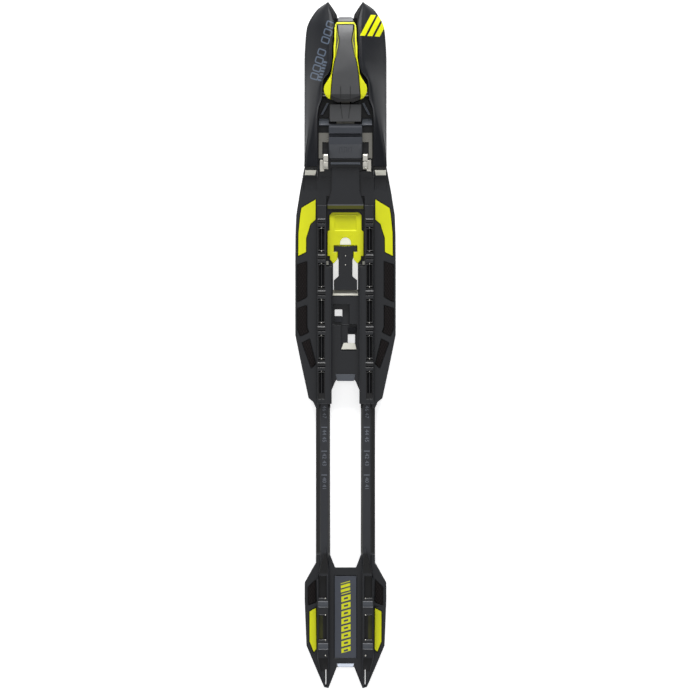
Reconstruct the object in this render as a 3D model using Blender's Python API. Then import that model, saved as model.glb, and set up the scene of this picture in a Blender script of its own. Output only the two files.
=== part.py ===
"""Cross-country skate binding: a slide-on toe unit with lever, jaw and lock, and a heel plate that slides on two rails.

The binding stands on the ski at z = 0. +Y points to the ski's tip and +X to the skier's right, and the origin is in
the middle of the overall length. Sizes are in millimetres, and MM turns them into Blender's metres. Along Y, the toe
unit is measured from the axis of the boot's toe bar, and the heel plate from its own rear end.
"""

import math

import bmesh
import bpy
from mathutils import Matrix, Vector

MM = 0.001

# Overall sizes
LENGTH = 382.4
TOE_WIDTH = 45.8
DECK_WIDTH = 56.0
HEEL_WIDTH = 45.6
TIP_AHEAD = 88.9
DECK_FRONT = -3.2
DECK_END = -137.2

# Clearances: GAP between fixed neighbours, RUN beside sliding and turning faces
GAP = 0.3
RUN = 0.4

# Heights of the mouldings, and the channel underneath for the plate that is fixed to the ski
CHANNEL_HALF = 17.2
CHANNEL_TOP = 4.6
DECK_TOP = 8.7
FLOOR_FRONT = 76.0
RIDGE_TOP = 13.5
SKIN = 2.2
TRIM_DEPTH = 1.2

# Toe bar and the steel hooks that hold it
BAR_Z = 13.0
BAR_SEAT = 2.2
HOOK_INNER = 9.65
HOOK_OUTER = 12.3
HOOK_TOP = 16.2
JAW_THICK = 1.5
JAW_HALF = 15.0
WELL_HALF = 15.3

# Lever, its crank and the link to the jaw
LEVER_Y = 37.2
LEVER_Z = 18.5
HUB_RADIUS = 5.2
PIN_RADIUS = 1.5
CRANK_RADIUS = 5.1
CRANK_ANGLE = 40.0
SMALL_PIN = 0.85
LINK_HALF = 2.6
LINK_END = 1.6
LINK_EYE = 2.1
EYE_PLAY = 0.6
LEVER_TURN = 60.0
LINK_TURN = 8.1
EAR_WIDTH = 2.0
JAW_PIN_Y = 24.5
JAW_PIN_Z = 12.8

# Lock slider and its tongue
LOCK_FRONT = -28.1
LOCK_HALF = 10.0
LOCK_BOTTOM = 6.2
LOCK_TOP = 9.0

# Rails of the heel frame, and the ridges that cover them
RAIL_INNER = 8.65
RAIL_OUTER = 16.5
RAIL_TOP = 9.4
RAIL_HOLD = 38.0
HEEL_TRAVEL = 40.0
RIDGE_INNER = 7.7
RIDGE_OUTER = 15.6
POCKET_X = 13.35
POCKET_WIDTH = 3.7
BRIDGE_FIRST = -33.8
BRIDGE_PITCH = 20.0
BRIDGES = 5
BRIDGE_LENGTH = 5.0

TOE_HALF = TOE_WIDTH / 2
DECK_HALF = DECK_WIDTH / 2
HEEL_HALF = HEEL_WIDTH / 2
BAR_Y = LENGTH / 2 - TIP_AHEAD
HEEL_Y = -LENGTH / 2
TOE = (0, BAR_Y, 0)
HEEL = (0, HEEL_Y, 0)
JAW_BOTTOM = DECK_TOP + GAP
JAW_TOP = JAW_BOTTOM + JAW_THICK
RAIL_FRONT = DECK_END + RAIL_HOLD
RAIL_ROOM = RAIL_FRONT + HEEL_TRAVEL + 0.8
RAIL_BOTTOM = CHANNEL_TOP + GAP
CRANK_Y = LEVER_Y - CRANK_RADIUS * math.sin(math.radians(CRANK_ANGLE))
CRANK_Z = LEVER_Z - CRANK_RADIUS * math.cos(math.radians(CRANK_ANGLE))

# An outline drawn in (u, v) and pushed along w: where each of the three goes for a push along X, Y or Z
AXES = {
    "X": Matrix(((0, 0, 1, 0), (1, 0, 0, 0), (0, 1, 0, 0), (0, 0, 0, 1))),
    "Y": Matrix(((1, 0, 0, 0), (0, 0, -1, 0), (0, 1, 0, 0), (0, 0, 0, 1))),
    "Z": Matrix.Identity(4),
}


def clear_scene():
    for obj in list(bpy.data.objects):
        bpy.data.objects.remove(obj, do_unlink=True)


def new_collection(name, hidden=False):
    collection = bpy.data.collections.new(name)
    bpy.context.scene.collection.children.link(collection)
    collection.hide_render = hidden
    return collection


def new_material(name, colour, roughness, metallic=0.0):
    material = bpy.data.materials.new(name)
    material.use_nodes = True
    shader = material.node_tree.nodes["Principled BSDF"]
    shader.inputs["Base Color"].default_value = (*colour, 1)
    shader.inputs["Roughness"].default_value = roughness
    shader.inputs["Metallic"].default_value = metallic
    return material


def as_object(name, shape, at):
    """A new object from a bmesh drawn in millimetres, facing out, at a place in millimetres."""
    bmesh.ops.remove_doubles(shape, verts=shape.verts, dist=1e-4)
    bmesh.ops.recalc_face_normals(shape, faces=shape.faces)
    bmesh.ops.scale(shape, vec=(MM, MM, MM), verts=shape.verts)
    mesh = bpy.data.meshes.new(name)
    shape.to_mesh(mesh)
    shape.free()
    obj = bpy.data.objects.new(name, mesh)
    obj.location = [value * MM for value in at]
    PIECES.objects.link(obj)
    return obj


def box(name, low, high, at=TOE):
    shape = bmesh.new()
    add_box(shape, low, high)
    return as_object(name, shape, at)


def boxes(name, pairs, at=TOE):
    shape = bmesh.new()
    for low, high in pairs:
        add_box(shape, low, high)
    return as_object(name, shape, at)


def add_box(shape, low, high):
    size = [b - a for a, b in zip(low, high)]
    middle = [(a + b) / 2 for a, b in zip(low, high)]
    bmesh.ops.create_cube(shape, size=1, matrix=Matrix.Translation(middle) @ Matrix.Diagonal((*size, 1)))


def rod(name, radius, x, y, z, at=TOE, sides=20):
    """A round bar along X between two values of x."""
    shape = bmesh.new()
    turn = Matrix.Translation(((x[0] + x[1]) / 2, y, z)) @ Matrix.Rotation(math.pi / 2, 4, "Y")
    bmesh.ops.create_cone(
        shape, cap_ends=True, segments=sides, radius1=radius, radius2=radius, depth=x[1] - x[0], matrix=turn
    )
    return as_object(name, shape, at)


def push(name, outline, start, end, axis="Z", at=TOE, holes=()):
    """A flat outline pushed along an axis: (x, y) along Z, (y, z) along X and (x, z) along Y."""
    curve = bpy.data.curves.new(name, "CURVE")
    curve.dimensions = "2D"
    curve.fill_mode = "BOTH"
    curve.extrude = (end - start) / 2
    for loop in (outline, *holes):
        spline = curve.splines.new("POLY")
        spline.points.add(len(loop) - 1)
        spline.use_cyclic_u = True
        for point, (u, v) in zip(spline.points, loop):
            point.co = (u, v, 0, 1)
    guide = bpy.data.objects.new(name, curve)
    PIECES.objects.link(guide)
    bpy.context.view_layer.update()
    mesh = bpy.data.meshes.new_from_object(guide.evaluated_get(bpy.context.evaluated_depsgraph_get()))
    shape = bmesh.new()
    shape.from_mesh(mesh)
    bpy.data.objects.remove(guide)
    bpy.data.meshes.remove(mesh)
    lift = -(start + end) / 2 if axis == "Y" else (start + end) / 2
    bmesh.ops.transform(shape, matrix=AXES[axis] @ Matrix.Translation((0, 0, lift)), verts=shape.verts)
    return as_object(name, shape, at)


def loft(name, sections, at=TOE):
    """A solid skin over closed sections that all have the same number of points."""
    shape = bmesh.new()
    rings = [[shape.verts.new(point) for point in section] for section in sections]
    count = len(rings[0])
    for one, two in zip(rings, rings[1:]):
        for i in range(count):
            shape.faces.new((one[i], one[(i + 1) % count], two[(i + 1) % count], two[i]))
    shape.faces.new(rings[0])
    shape.faces.new(rings[-1])
    bmesh.ops.triangulate(shape, faces=shape.faces)
    return as_object(name, shape, at)


def mirrored(points):
    """A closed outline from its right half, given from front to rear."""
    return [*points, *[(-x, y) for x, y in reversed(points) if x > 0]]


def flipped(points):
    return [(-x, y) for x, y in points]


def arc(centre, radius, first, last, steps):
    turn = [math.radians(first + (last - first) * i / steps) for i in range(steps + 1)]
    return [(centre[0] + radius * math.cos(a), centre[1] + radius * math.sin(a)) for a in turn]


def combine(obj, other, operation):
    """A live Boolean with a helper, which moves to the hidden collection."""
    modifier = obj.modifiers.new(f"{operation.lower()} {other.name}", "BOOLEAN")
    modifier.operation = operation
    modifier.object = other
    other.hide_render = True
    other.display_type = "WIRE"
    if other.name in PIECES.objects:
        PIECES.objects.unlink(other)
        HELPERS.objects.link(other)


def add(obj, other):
    combine(obj, other, "UNION")


def cut(obj, other):
    combine(obj, other, "DIFFERENCE")


def keep(obj, other):
    combine(obj, other, "INTERSECT")


def mirror_cut(obj, other):
    """Cuts a helper drawn on the right, and its mirror image on the left."""
    middle = [-other.location.x, 0, 0]
    shape = bmesh.new()
    shape.from_mesh(other.data)
    bmesh.ops.mirror(shape, geom=shape.verts[:] + shape.edges[:] + shape.faces[:], axis="X", merge_dist=0)
    bmesh.ops.translate(shape, vec=middle, verts=shape.verts)
    bmesh.ops.recalc_face_normals(shape, faces=shape.faces)
    shape.to_mesh(other.data)
    shape.free()
    cut(obj, other)


def axis_empty(name, place, parent=None):
    empty = bpy.data.objects.new(name, None)
    empty.empty_display_size = 0.01
    empty.location = [value * MM for value in place]
    PIECES.objects.link(empty)
    bpy.context.view_layer.update()
    if parent:
        hang(empty, parent)
    return empty


def hang(obj, parent):
    """Makes obj follow parent and leaves it where it is."""
    bpy.context.view_layer.update()
    obj.parent = parent
    obj.matrix_parent_inverse = parent.matrix_world.inverted()


def finish(obj, parent, material):
    obj.data.materials.clear()
    obj.data.materials.append(material)
    hang(obj, parent)
    return obj


# ---------------------------------------------------------------- outlines shared by pieces


def deck_half(y):
    """Half width of the deck: it flares behind the toe, runs straight and tapers to its rear end."""
    stations = (
        (DECK_FRONT, 0.0),
        (-10.2, 0.26),
        (-16.9, 0.5),
        (-29.7, 0.9),
        (-40.8, 0.98),
        (-55.8, 1.0),
        (-96.5, 1.0),
    )
    for (y0, k0), (y1, k1) in zip(stations, stations[1:]):
        if y >= y1:
            k = k0 + (k1 - k0) * (y0 - y) / (y0 - y1)
            return TOE_HALF + (DECK_HALF - TOE_HALF) * k
    return DECK_HALF


def floor_edge():
    """Front corner of the floor, which tucks in under the slope of the housing."""
    return [(TOE_HALF - 12.7, FLOOR_FRONT), (TOE_HALF - 7.0, 70.0), (TOE_HALF - 4.2, 60.0), (TOE_HALF - 2.7, 50.0)]


def deck_outline():
    """Plan of the chassis: the floor of the toe, then the deck, down to the notch between its two rear ends."""
    floor = [*floor_edge(), (TOE_HALF - 2.7, DECK_FRONT)]
    flare = [(deck_half(y), y) for y in (DECK_FRONT, -10.2, -16.9, -29.7, -40.8, -55.8, -96.5)]
    tail = [(DECK_HALF - 3.4, DECK_END + 24.1), (DECK_HALF - 7.4, DECK_END + 5.6)]
    end = [(RAIL_OUTER + 1.5, DECK_END + 3.4), (RAIL_OUTER, DECK_END)]
    notch = [(RIDGE_INNER + 0.7, DECK_END), (RIDGE_INNER + 0.75, DECK_END + 8.3), (5.6, DECK_END + 15.0)]
    return mirrored([*floor, *flare, *tail, *end, *notch, (4.85, DECK_END + 15.7)])


def rail_section(room=0.0):
    """Cross-section (x, z) of the right rail, grown by some room for the channel it slides in."""
    bottom = RAIL_BOTTOM if room == 0 else CHANNEL_TOP - 1
    return [
        (RAIL_INNER - room, bottom),
        (RAIL_OUTER + room, bottom),
        (RAIL_OUTER + room, RAIL_BOTTOM + 1.0 + room / 2),
        (RAIL_OUTER - 2.3 + room, RAIL_TOP - 1.2 + room / 2),
        (RAIL_OUTER - 2.6 + room, RAIL_TOP + room),
        (RAIL_INNER + 1.15 - room, RAIL_TOP + room),
        (RAIL_INNER + 0.65 - room, RAIL_TOP - 1.2 + room / 2),
        (RAIL_INNER - room, RAIL_BOTTOM + 1.0 + room / 2),
    ]


def deck_pads():
    """Right-hand outlines of the three rubber grip pads on the deck."""
    outer = DECK_HALF - 1.3
    inner = DECK_HALF - 6.3
    return {
        "front": [(inner, -55.7), (outer, -57.4), (outer, -77.8), (inner, -75.2)],
        "middle": [
            (inner, -80.1),
            (outer, -81.8),
            (outer, -92.8),
            (outer - 1.6, -96.9),
            (inner - 1.1, -94.8),
            (inner, -92.0),
        ],
        "rear": [(inner - 1.6, -98.9), (outer - 2.7, -100.9), (outer - 7.7, -114.6), (inner - 5.0, -112.6)],
    }


def deck_inlay():
    """Right-hand outline of the coloured inlay at the front of the deck."""
    edge = 1.65
    return [
        (16.65, -21.0),
        (deck_half(-25.7) - edge - 0.7, -25.7),
        (deck_half(-29.1) - edge - 0.6, -29.1),
        (deck_half(-39.4) - edge, -39.4),
        (deck_half(-52.4) - edge, -52.4),
        (DECK_HALF - 6.0, -50.2),
        (DECK_HALF - 6.1, -42.4),
        (DECK_HALF - 8.5, -34.6),
        (16.65, -32.2),
    ]


def grown(points, by):
    """An outline with each of its edges pushed out by a distance."""
    area = sum(x0 * y1 - x1 * y0 for (x0, y0), (x1, y1) in zip(points, points[1:] + points[:1]))
    turn = 1 if area > 0 else -1
    result = []
    for before, here, after in zip(points[-1:] + points[:-1], points, points[1:] + points[:1]):
        one = Vector((here[1] - before[1], before[0] - here[0])).normalized() * turn
        two = Vector((after[1] - here[1], here[0] - after[0])).normalized() * turn
        corner = (one + two) / (1 + one.dot(two))
        result.append((here[0] + corner.x * by, here[1] + corner.y * by))
    return result


# ---------------------------------------------------------------- toe unit, fixed pieces


def build_chassis():
    """One moulding: floor of the toe, deck, ridges, seats for the hooks and flexor, and the plate channel below."""
    chassis = push("chassis", deck_outline(), 0, DECK_TOP)
    lock_side = LOCK_HALF + RUN + 0.3
    ridge = [(RIDGE_OUTER, -24.3), (RIDGE_OUTER, DECK_END + 2.4), (RIDGE_INNER, DECK_END + 2.4)]
    ridge += [(RIDGE_INNER, RAIL_ROOM), (lock_side, RAIL_ROOM), (lock_side, -24.3)]
    shoulder = [(-4.0, DECK_TOP - 1), (-4.0, 12.8), (-5.2, 12.4), (-7.7, 9.9), (-9.8, DECK_TOP - 1)]
    bar = [(21.4, DECK_TOP - 1), (21.4, 12.4), (22.2, 13.2), (23.2, 12.4), (23.4, DECK_TOP - 1)]
    for side, name in ((1, "right"), (-1, "left")):
        outline = ridge if side > 0 else flipped(ridge)
        add(chassis, push(f"ridge {name}", outline, DECK_TOP - 2, RIDGE_TOP))
        edges = sorted((side * WELL_HALF, side * (TOE_HALF - 0.25)))
        add(chassis, push(f"shoulder {name}", shoulder, *edges, "X"))
        edges = sorted((side * 9.7, side * 14.5))
        add(chassis, push(f"cross bar {name}", bar, *edges, "X"))
    add(chassis, box("flexor seat", (-8.6, 1.2, DECK_TOP - 1), (8.6, 10.3, 11.0)))
    cut(chassis, box("plate channel", (-CHANNEL_HALF, DECK_END - 5, -1), (CHANNEL_HALF, FLOOR_FRONT + 5, CHANNEL_TOP)))
    rail_way = push("rail way", rail_section(RUN), DECK_END - 5, RAIL_ROOM, "Y")
    mirror_cut(chassis, rail_way)
    wing = [(deck_half(y) - SKIN, y) for y in (-14, -29.7, -55.8, -94)]
    wing += [(DECK_HALF - 6.6, DECK_END + 24), (DECK_HALF - 8.6, DECK_END + 12), (19.2, DECK_END + 12), (19.2, -14)]
    mirror_cut(chassis, push("wing hollow", wing, -1, 5.4))
    lock_room = [(LOCK_HALF + RUN, LOCK_FRONT + 9), (LOCK_HALF + RUN, LOCK_FRONT - 28.9)]
    cut(chassis, push("lock room", mirrored(lock_room), LOCK_BOTTOM - GAP, DECK_TOP + 6))
    window = [(-6.9, -41.5), (6.9, -41.5), (6.9, -71.6), (-6.9, -71.6)]
    cut(chassis, push("lock window", window, 0, DECK_TOP + 3))
    ramp = [(-71.0, 5.2), (-71.9, 5.2), (-75.2, DECK_TOP + 0.3), (-71.0, DECK_TOP + 0.3)]
    cut(chassis, push("ramp", ramp, -7.0, 7.0, "X"))
    cut(chassis, box("upper pocket", (-7.1, -90.8, 6.2), (2.1, -79.2, DECK_TOP + 1)))
    cut(chassis, box("lower pocket", (-2.6, -105.2, 6.25), (6.4, -90.5, DECK_TOP + 1)))
    holes = [((-6.0, -86.3, 0), (-1.8, -82.2, 9)), ((1.3, -101.0, 0), (5.3, -96.1, 9))]
    cut(chassis, boxes("step holes", holes))
    pockets = []
    for i in range(BRIDGES):
        start = BRIDGE_FIRST - i * BRIDGE_PITCH - BRIDGE_LENGTH / 2
        end = start - BRIDGE_PITCH + BRIDGE_LENGTH
        pockets.append((start, end if i < BRIDGES - 1 else DECK_END + 5))
    half = POCKET_WIDTH / 2
    depth = RIDGE_TOP - 2.8
    trenches = [((POCKET_X - half, b, depth), (POCKET_X + half, a, RIDGE_TOP + 1)) for a, b in pockets]
    mirror_cut(chassis, boxes("ridge pockets", trenches))
    for name, outline in {**deck_pads(), "inlay": deck_inlay()}.items():
        mirror_cut(chassis, push(f"{name} recess", grown(outline, GAP), DECK_TOP - TRIM_DEPTH, DECK_TOP + 1))
    return chassis


def housing_stations():
    """Sections of the right half of the toe housing, front to rear: y, outer and inner x, and the heights.

    Each section climbs the outer side, crosses the sloping face to the crease and the crest, and drops down the
    inner wall, which follows the lever and then the well for the jaw.
    """
    edge = TOE_HALF
    return (
        # y, outer, inner, side height, crease x, crease height, crest height
        (TIP_AHEAD, 10.3, 9.3, 2.0, 9.8, 4.6, 5.0),
        (85.0, edge - 7.2, 6.9, 3.0, 9.2, 7.4, 7.8),
        (81.0, edge - 4.3, 4.6, 4.2, 7.6, 9.8, 10.2),
        (77.6, edge - 2.4, 5.4, 5.0, 8.0, 11.9, 12.2),
        (74.0, edge - 1.2, 6.5, 5.5, 8.6, 13.8, 14.0),
        (67.0, edge - 0.5, 6.95, 6.2, 9.0, 16.7, 17.0),
        (55.7, edge, 7.35, 7.0, 9.8, 20.3, 20.8),
        (49.4, edge, 8.3, 7.3, 11.6, 21.5, 22.4),
        (42.5, edge, 12.5, 7.6, 14.4, 21.8, 23.0),
        (34.5, edge, 12.6, 7.8, 15.7, 20.2, 22.6),
        (28.5, edge, 14.7, 7.9, 16.8, 18.6, 20.8),
        (22.7, edge, WELL_HALF, 8.1, 18.0, 17.0, 19.0),
        (12.0, edge, WELL_HALF, 8.6, edge - 2.8, 14.0, 16.2),
        (2.7, edge, WELL_HALF, 9.0, edge - 1.0, 11.4, 14.0),
        (-2.8, edge, WELL_HALF, 9.2, edge - 0.6, 10.8, 13.0),
    )


def housing_section(station, wall=0.0):
    y, outer, inner, side, crease_x, crease_z, crest = station
    outer -= wall
    inner += wall
    crease_x = min(max(crease_x, inner + 0.4), outer - 0.4)
    middle_x = (outer + crease_x) / 2
    middle_z = (side + crease_z) / 2 + 1.1
    rise = [(outer, side), (middle_x, middle_z), (crease_x, crease_z), (inner, crest)]
    bottom = 0 if wall == 0 else -1
    drop = wall * 1.1
    return [(inner, y, bottom), (outer, y, bottom), *[(x, y, max(z - drop, 0.5)) for x, z in rise]]


def sideways(sections, side):
    return [[(side * x, y, z) for x, y, z in section] for section in sections]


def build_wing(name, side):
    """One hollow wing of the housing, with the blind hole for the lever's pin."""
    stations = housing_stations()
    wing = loft(name, sideways([housing_section(station) for station in stations], side))
    edges = sorted((side * 5, side * WELL_HALF))
    cut(wing, rod(f"{name} pin hole", PIN_RADIUS + GAP, edges, LEVER_Y, LEVER_Z))
    inside = [housing_section(station, SKIN) for station in stations[6:-1]]
    rear = housing_section(stations[-1], SKIN)
    inside.append([(x, y - 2, z) for x, y, z in rear])
    cut(wing, loft(f"{name} hollow", sideways(inside, side)))
    edge = [(side * (x + GAP), y + GAP) for x, y in floor_edge()]
    outline = [(-side * 2, FLOOR_FRONT + GAP), *edge, (side * (TOE_HALF - 2.7 + GAP), -6), (-side * 2, -6)]
    cut(wing, push(f"{name} room", outline, -1, DECK_TOP + GAP))
    return wing


def build_housing():
    """The horned cover of the toe: a wing on each side of the lever, joined by a web under its nose."""
    housing = build_wing("toe_housing", 1)
    add(housing, box("nose web", (-8, FLOOR_FRONT + 0.6, 0), (8, FLOOR_FRONT + 3.6, 8.0)))
    add(housing, build_wing("left wing", -1))
    return housing


def build_cover_plate():
    """The plate behind the lever: a flat top on two legs that straddle the link."""
    leg = 5.9
    section = [(8.8, JAW_BOTTOM), (8.8, 20.4), (-8.8, 20.4), (-8.8, JAW_BOTTOM)]
    section += [(-leg, JAW_BOTTOM), (-leg, 17.9), (leg, 17.9), (leg, JAW_BOTTOM)]
    front = LEVER_Y - HUB_RADIUS - 0.6
    rear = 21.9
    plate = push("cover_plate", section, rear, front, "Y")
    slope = [(rear - 1, 18.9), (front + 1, 20.2), (front + 1, 23), (rear - 1, 23)]
    cut(plate, push("plate slope", slope, -12, 12, "X"))
    return plate


def build_flexor():
    """The rubber bumper that the boot's toe presses on: two ridges and a sloping rear face."""
    low = 11.0 + GAP
    outline = [
        (20.9, low),
        (20.9, 17.4),
        (20.2, 18.2),
        (19.2, 17.9),
        (18.6, 19.4),
        (15.6, 19.0),
        (15.0, 16.6),
        (13.8, 16.6),
        (13.2, 18.4),
        (9.4, 18.2),
        (5.9, 14.6),
        (1.9, low),
    ]
    return push("flexor", outline, -9.3, 9.3, "X")


def build_centre_block():
    """The guide behind the bar, which widens to a lip over the front of the lock slider."""
    lip = LOCK_HALF + RUN - GAP
    outline = mirrored([(7.9, -3.3), (7.9, -16.5), (lip, -23.4), (lip, -26.3)])
    block = push("centre_block", outline, DECK_TOP + GAP, 11.2)
    under = [(-18.6, 5), (-18.6, LOCK_TOP + RUN), (-30, LOCK_TOP + RUN), (-30, 5)]
    cut(block, push("lip room", under, -14, 14, "X"))
    front = [(-2, 10.2), (-6, 10.75), (-20, 11.3), (-20, 13), (-2, 13)]
    cut(block, push("block top", front, -14, 14, "X"))
    return block


def hook_outline(side, foot):
    """Profile (y, z) of a hook on one side of the bar, +1 in front of it and -1 behind."""
    seat = arc((0, BAR_Z), BAR_SEAT, 90 - side * 6, 90 - side * 160, 12)
    reach = 4.3 * side
    crown = [(reach, HOOK_TOP - 1.6), (reach - side * 0.5, HOOK_TOP - 0.5), (reach - side * 1.6, HOOK_TOP)]
    tip = [(side * 0.23, HOOK_TOP)]
    inner = [(y, z) for y, z in seat if z > foot + 0.2]
    return [*inner, (inner[-1][0], foot), (reach, foot), *crown, *tip]


def build_hooks(side, name):
    """The pair of hooks on one side: the fixed one behind the bar and the one that the jaw carries."""
    edges = sorted((side * HOOK_INNER, side * HOOK_OUTER))
    fixed = push(f"fixed_hook_{name}", hook_outline(-1, DECK_TOP + GAP), *edges, "X")
    plate = sorted((side * (HOOK_OUTER - 0.5), side * 14.3))
    add(fixed, box(f"hook plate {name}", (plate[0], -5.3, DECK_TOP + GAP), (plate[1], 0.9, 11.6)))
    moving = push(f"jaw_hook_{name}", hook_outline(1, JAW_TOP + GAP), *edges, "X")
    return fixed, moving


# ---------------------------------------------------------------- lever, link and jaw


def lever_plan(points, nose, rear):
    """Plan of the lever from its right half, front to rear, closed by a flat nose and an arc behind."""
    half, y = points[-1]
    sag = y - rear
    radius = (half * half + sag * sag) / (2 * sag)
    spread = math.degrees(math.asin(half / radius))
    back = arc((0, rear + radius), radius, -90 + spread, -90, 4)[1:-1]
    return mirrored([(points[0][0] - 0.8, nose), *points, *back, (0, rear)])


def lever_crest(drop, front):
    """Top line (y, z) of the lever's arm, lowered by drop, from its front to the hub."""
    line = [(front, 10.9), (front - 1.6, 12.4), (71.0, 16.4), (60.0, 20.0), (50.0, 22.6), (43.0, 23.6)]
    return [(y, z - drop) for y, z in line]


def lever_profile(drop, line):
    """Side profile (y, z) of the lever below a top line: a round hub behind and an arm that falls to the nose."""
    hub = arc((LEVER_Y, LEVER_Z), HUB_RADIUS - drop, 90, 270, 12)
    return line + hub + [(45.0, 15.2), (60.0, 13.2), (74.0, 9.6), (line[0][0], 9.2)]


def trim_profile(front):
    """Side profile of the trim: a band under the lever's top line that wraps the back of the hub."""
    outer = lever_crest(0.25, front) + arc((LEVER_Y, LEVER_Z), HUB_RADIUS - 0.25, 90, 190, 8)
    inner = lever_crest(2.2, front) + arc((LEVER_Y, LEVER_Z), HUB_RADIUS - 2.2, 90, 190, 8)
    return outer + inner[::-1]


def link_slope():
    return math.degrees(math.atan2(CRANK_Z - JAW_PIN_Z, CRANK_Y - JAW_PIN_Y))


def link_room():
    """Side profile of the space that the link sweeps inside the lever as the lever turns."""
    away = link_slope() + 180 - LEVER_TURN - LINK_TURN
    edge = arc((CRANK_Y, CRANK_Z), LINK_EYE + EYE_PLAY, away - 90, -90, 10)
    far = math.radians(away)
    start = (edge[0][0] + 12 * math.cos(far), edge[0][1] + 12 * math.sin(far))
    return [start, *edge, (edge[-1][0], 6), (start[0], 6)]


def build_lever():
    """A grey arm with a hub and two crank cheeks, and the coloured trim that frames it and forms its ears."""
    nose = 80.6
    rear = LEVER_Y - HUB_RADIUS - 0.2
    core = [(4.1, 80.0), (4.4, 77.9), (4.4, 73.7), (3.3, 66.7), (4.6, 60.0), (6.0, 55.0), (7.1, 48.2), (7.6, 42.0)]
    core += [(8.2, 34.4)]
    frame = [(5.7, 76.0), (6.1, 74.0), (6.2, 67.0), (6.6, 63.9), (6.6, 58.0), (6.95, 55.0), (7.9, 48.2), (8.9, 46.0)]
    frame += [(10.4, 43.6), (11.5, 42.0), (12.0, 40.2), (11.9, 38.2), (11.2, 36.4), (10.2, 35.2), (8.8, 34.2)]
    body = push("lever_body", lever_profile(0, lever_crest(0, nose)), -9, 9, "X")
    keep(body, push("lever plan", lever_plan(core, nose, rear), 5, 30))
    ledge = [(76.6, 11.0), *lever_crest(2.6, nose)[2:]]
    base = push("lever base", lever_profile(2.6, ledge), -9, 9, "X")
    wide = [(4.9, 76.0), (5.6, 73.0), (5.9, 50.0), (8.0, 45.0), (8.15, 36.0)]
    keep(base, push("base plan", lever_plan(wide, 76.4, rear + 0.1), 5, 30))
    add(body, base)
    cut(body, box("trim groove", (-9, 76.1, 10.8), (9, 77.9, 20)))
    cut(body, rod("hub bore", PIN_RADIUS + 0.12, (-14, 14), LEVER_Y, LEVER_Z))
    cut(body, push("link room", link_room(), -LINK_HALF - RUN, LINK_HALF + RUN, "X"))
    for side, name in ((1, "right"), (-1, "left")):
        inner = LINK_HALF + RUN
        edges = sorted((side * inner, side * (inner + EAR_WIDTH)))
        cheek = arc((CRANK_Y, CRANK_Z), 2.3, 150, 330, 10) + [(LEVER_Y + 2, LEVER_Z - 3), (LEVER_Y - 3, LEVER_Z - 1.7)]
        add(body, push(f"cheek {name}", cheek, *edges, "X"))
    cut(body, rod("crank bore", SMALL_PIN + 0.1, (-8, 8), CRANK_Y, CRANK_Z, sides=12))
    trim = push("lever_trim", trim_profile(nose), -13, 13, "X")
    keep(trim, push("trim plan", lever_plan(frame, 77.6, rear + 1.6), 5, 30))
    inner = [(4.8, 76.4), (5.0, 73.7), (5.1, 67.0), (5.45, 62.0), (5.6, 58.0)]
    inner += [(x + GAP, y) for x, y in core[5:]]
    opening = mirrored([*inner, (core[-1][0] + GAP, 30)])
    cut(trim, push("trim opening", opening, 5, 30))
    return body, trim


def build_link():
    """The short bar between the lever's crank and the jaw, with a close bore behind and a loose one in front."""
    slope = link_slope()
    outline = arc((JAW_PIN_Y, JAW_PIN_Z), LINK_END, slope + 90, slope + 270, 10)
    outline += arc((CRANK_Y, CRANK_Z), LINK_EYE, slope - 90, slope + 90, 10)
    link = push("toggle_link", outline, -LINK_HALF, LINK_HALF, "X")
    cut(link, rod("link bore rear", SMALL_PIN + 0.1, (-5, 5), JAW_PIN_Y, JAW_PIN_Z, sides=12))
    cut(link, rod("link bore front", SMALL_PIN + EYE_PLAY, (-5, 5), CRANK_Y, CRANK_Z, sides=16))
    return link


def build_jaw():
    """A steel plate that slides on the floor: a cross piece, an arm on each side and two ears for the link's pin."""
    inner = LINK_HALF + RUN
    tongue = inner + EAR_WIDTH
    reach = JAW_PIN_Y + 1.9
    outline = [(tongue, reach), (tongue, 16.2), (JAW_HALF, 16.2), (JAW_HALF, 1.9), (HOOK_INNER, 1.9), (HOOK_INNER, 4.3)]
    outline += [(12.85, 4.3), (12.85, 10.9)]
    plate = push("jaw_plate", mirrored(outline), JAW_BOTTOM, JAW_TOP)
    for side, name in ((1, "right"), (-1, "left")):
        edges = sorted((side * inner, side * tongue))
        ear = [(reach, JAW_TOP - 0.8), *arc((JAW_PIN_Y, JAW_PIN_Z), 1.9, 0, 180, 8), (JAW_PIN_Y - 1.9, JAW_TOP - 0.8)]
        add(plate, push(f"ear {name}", ear, *edges, "X"))
    cut(plate, rod("ear bore", SMALL_PIN + 0.1, (-8, 8), JAW_PIN_Y, JAW_PIN_Z, sides=12))
    return plate


# ---------------------------------------------------------------- lock


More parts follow.
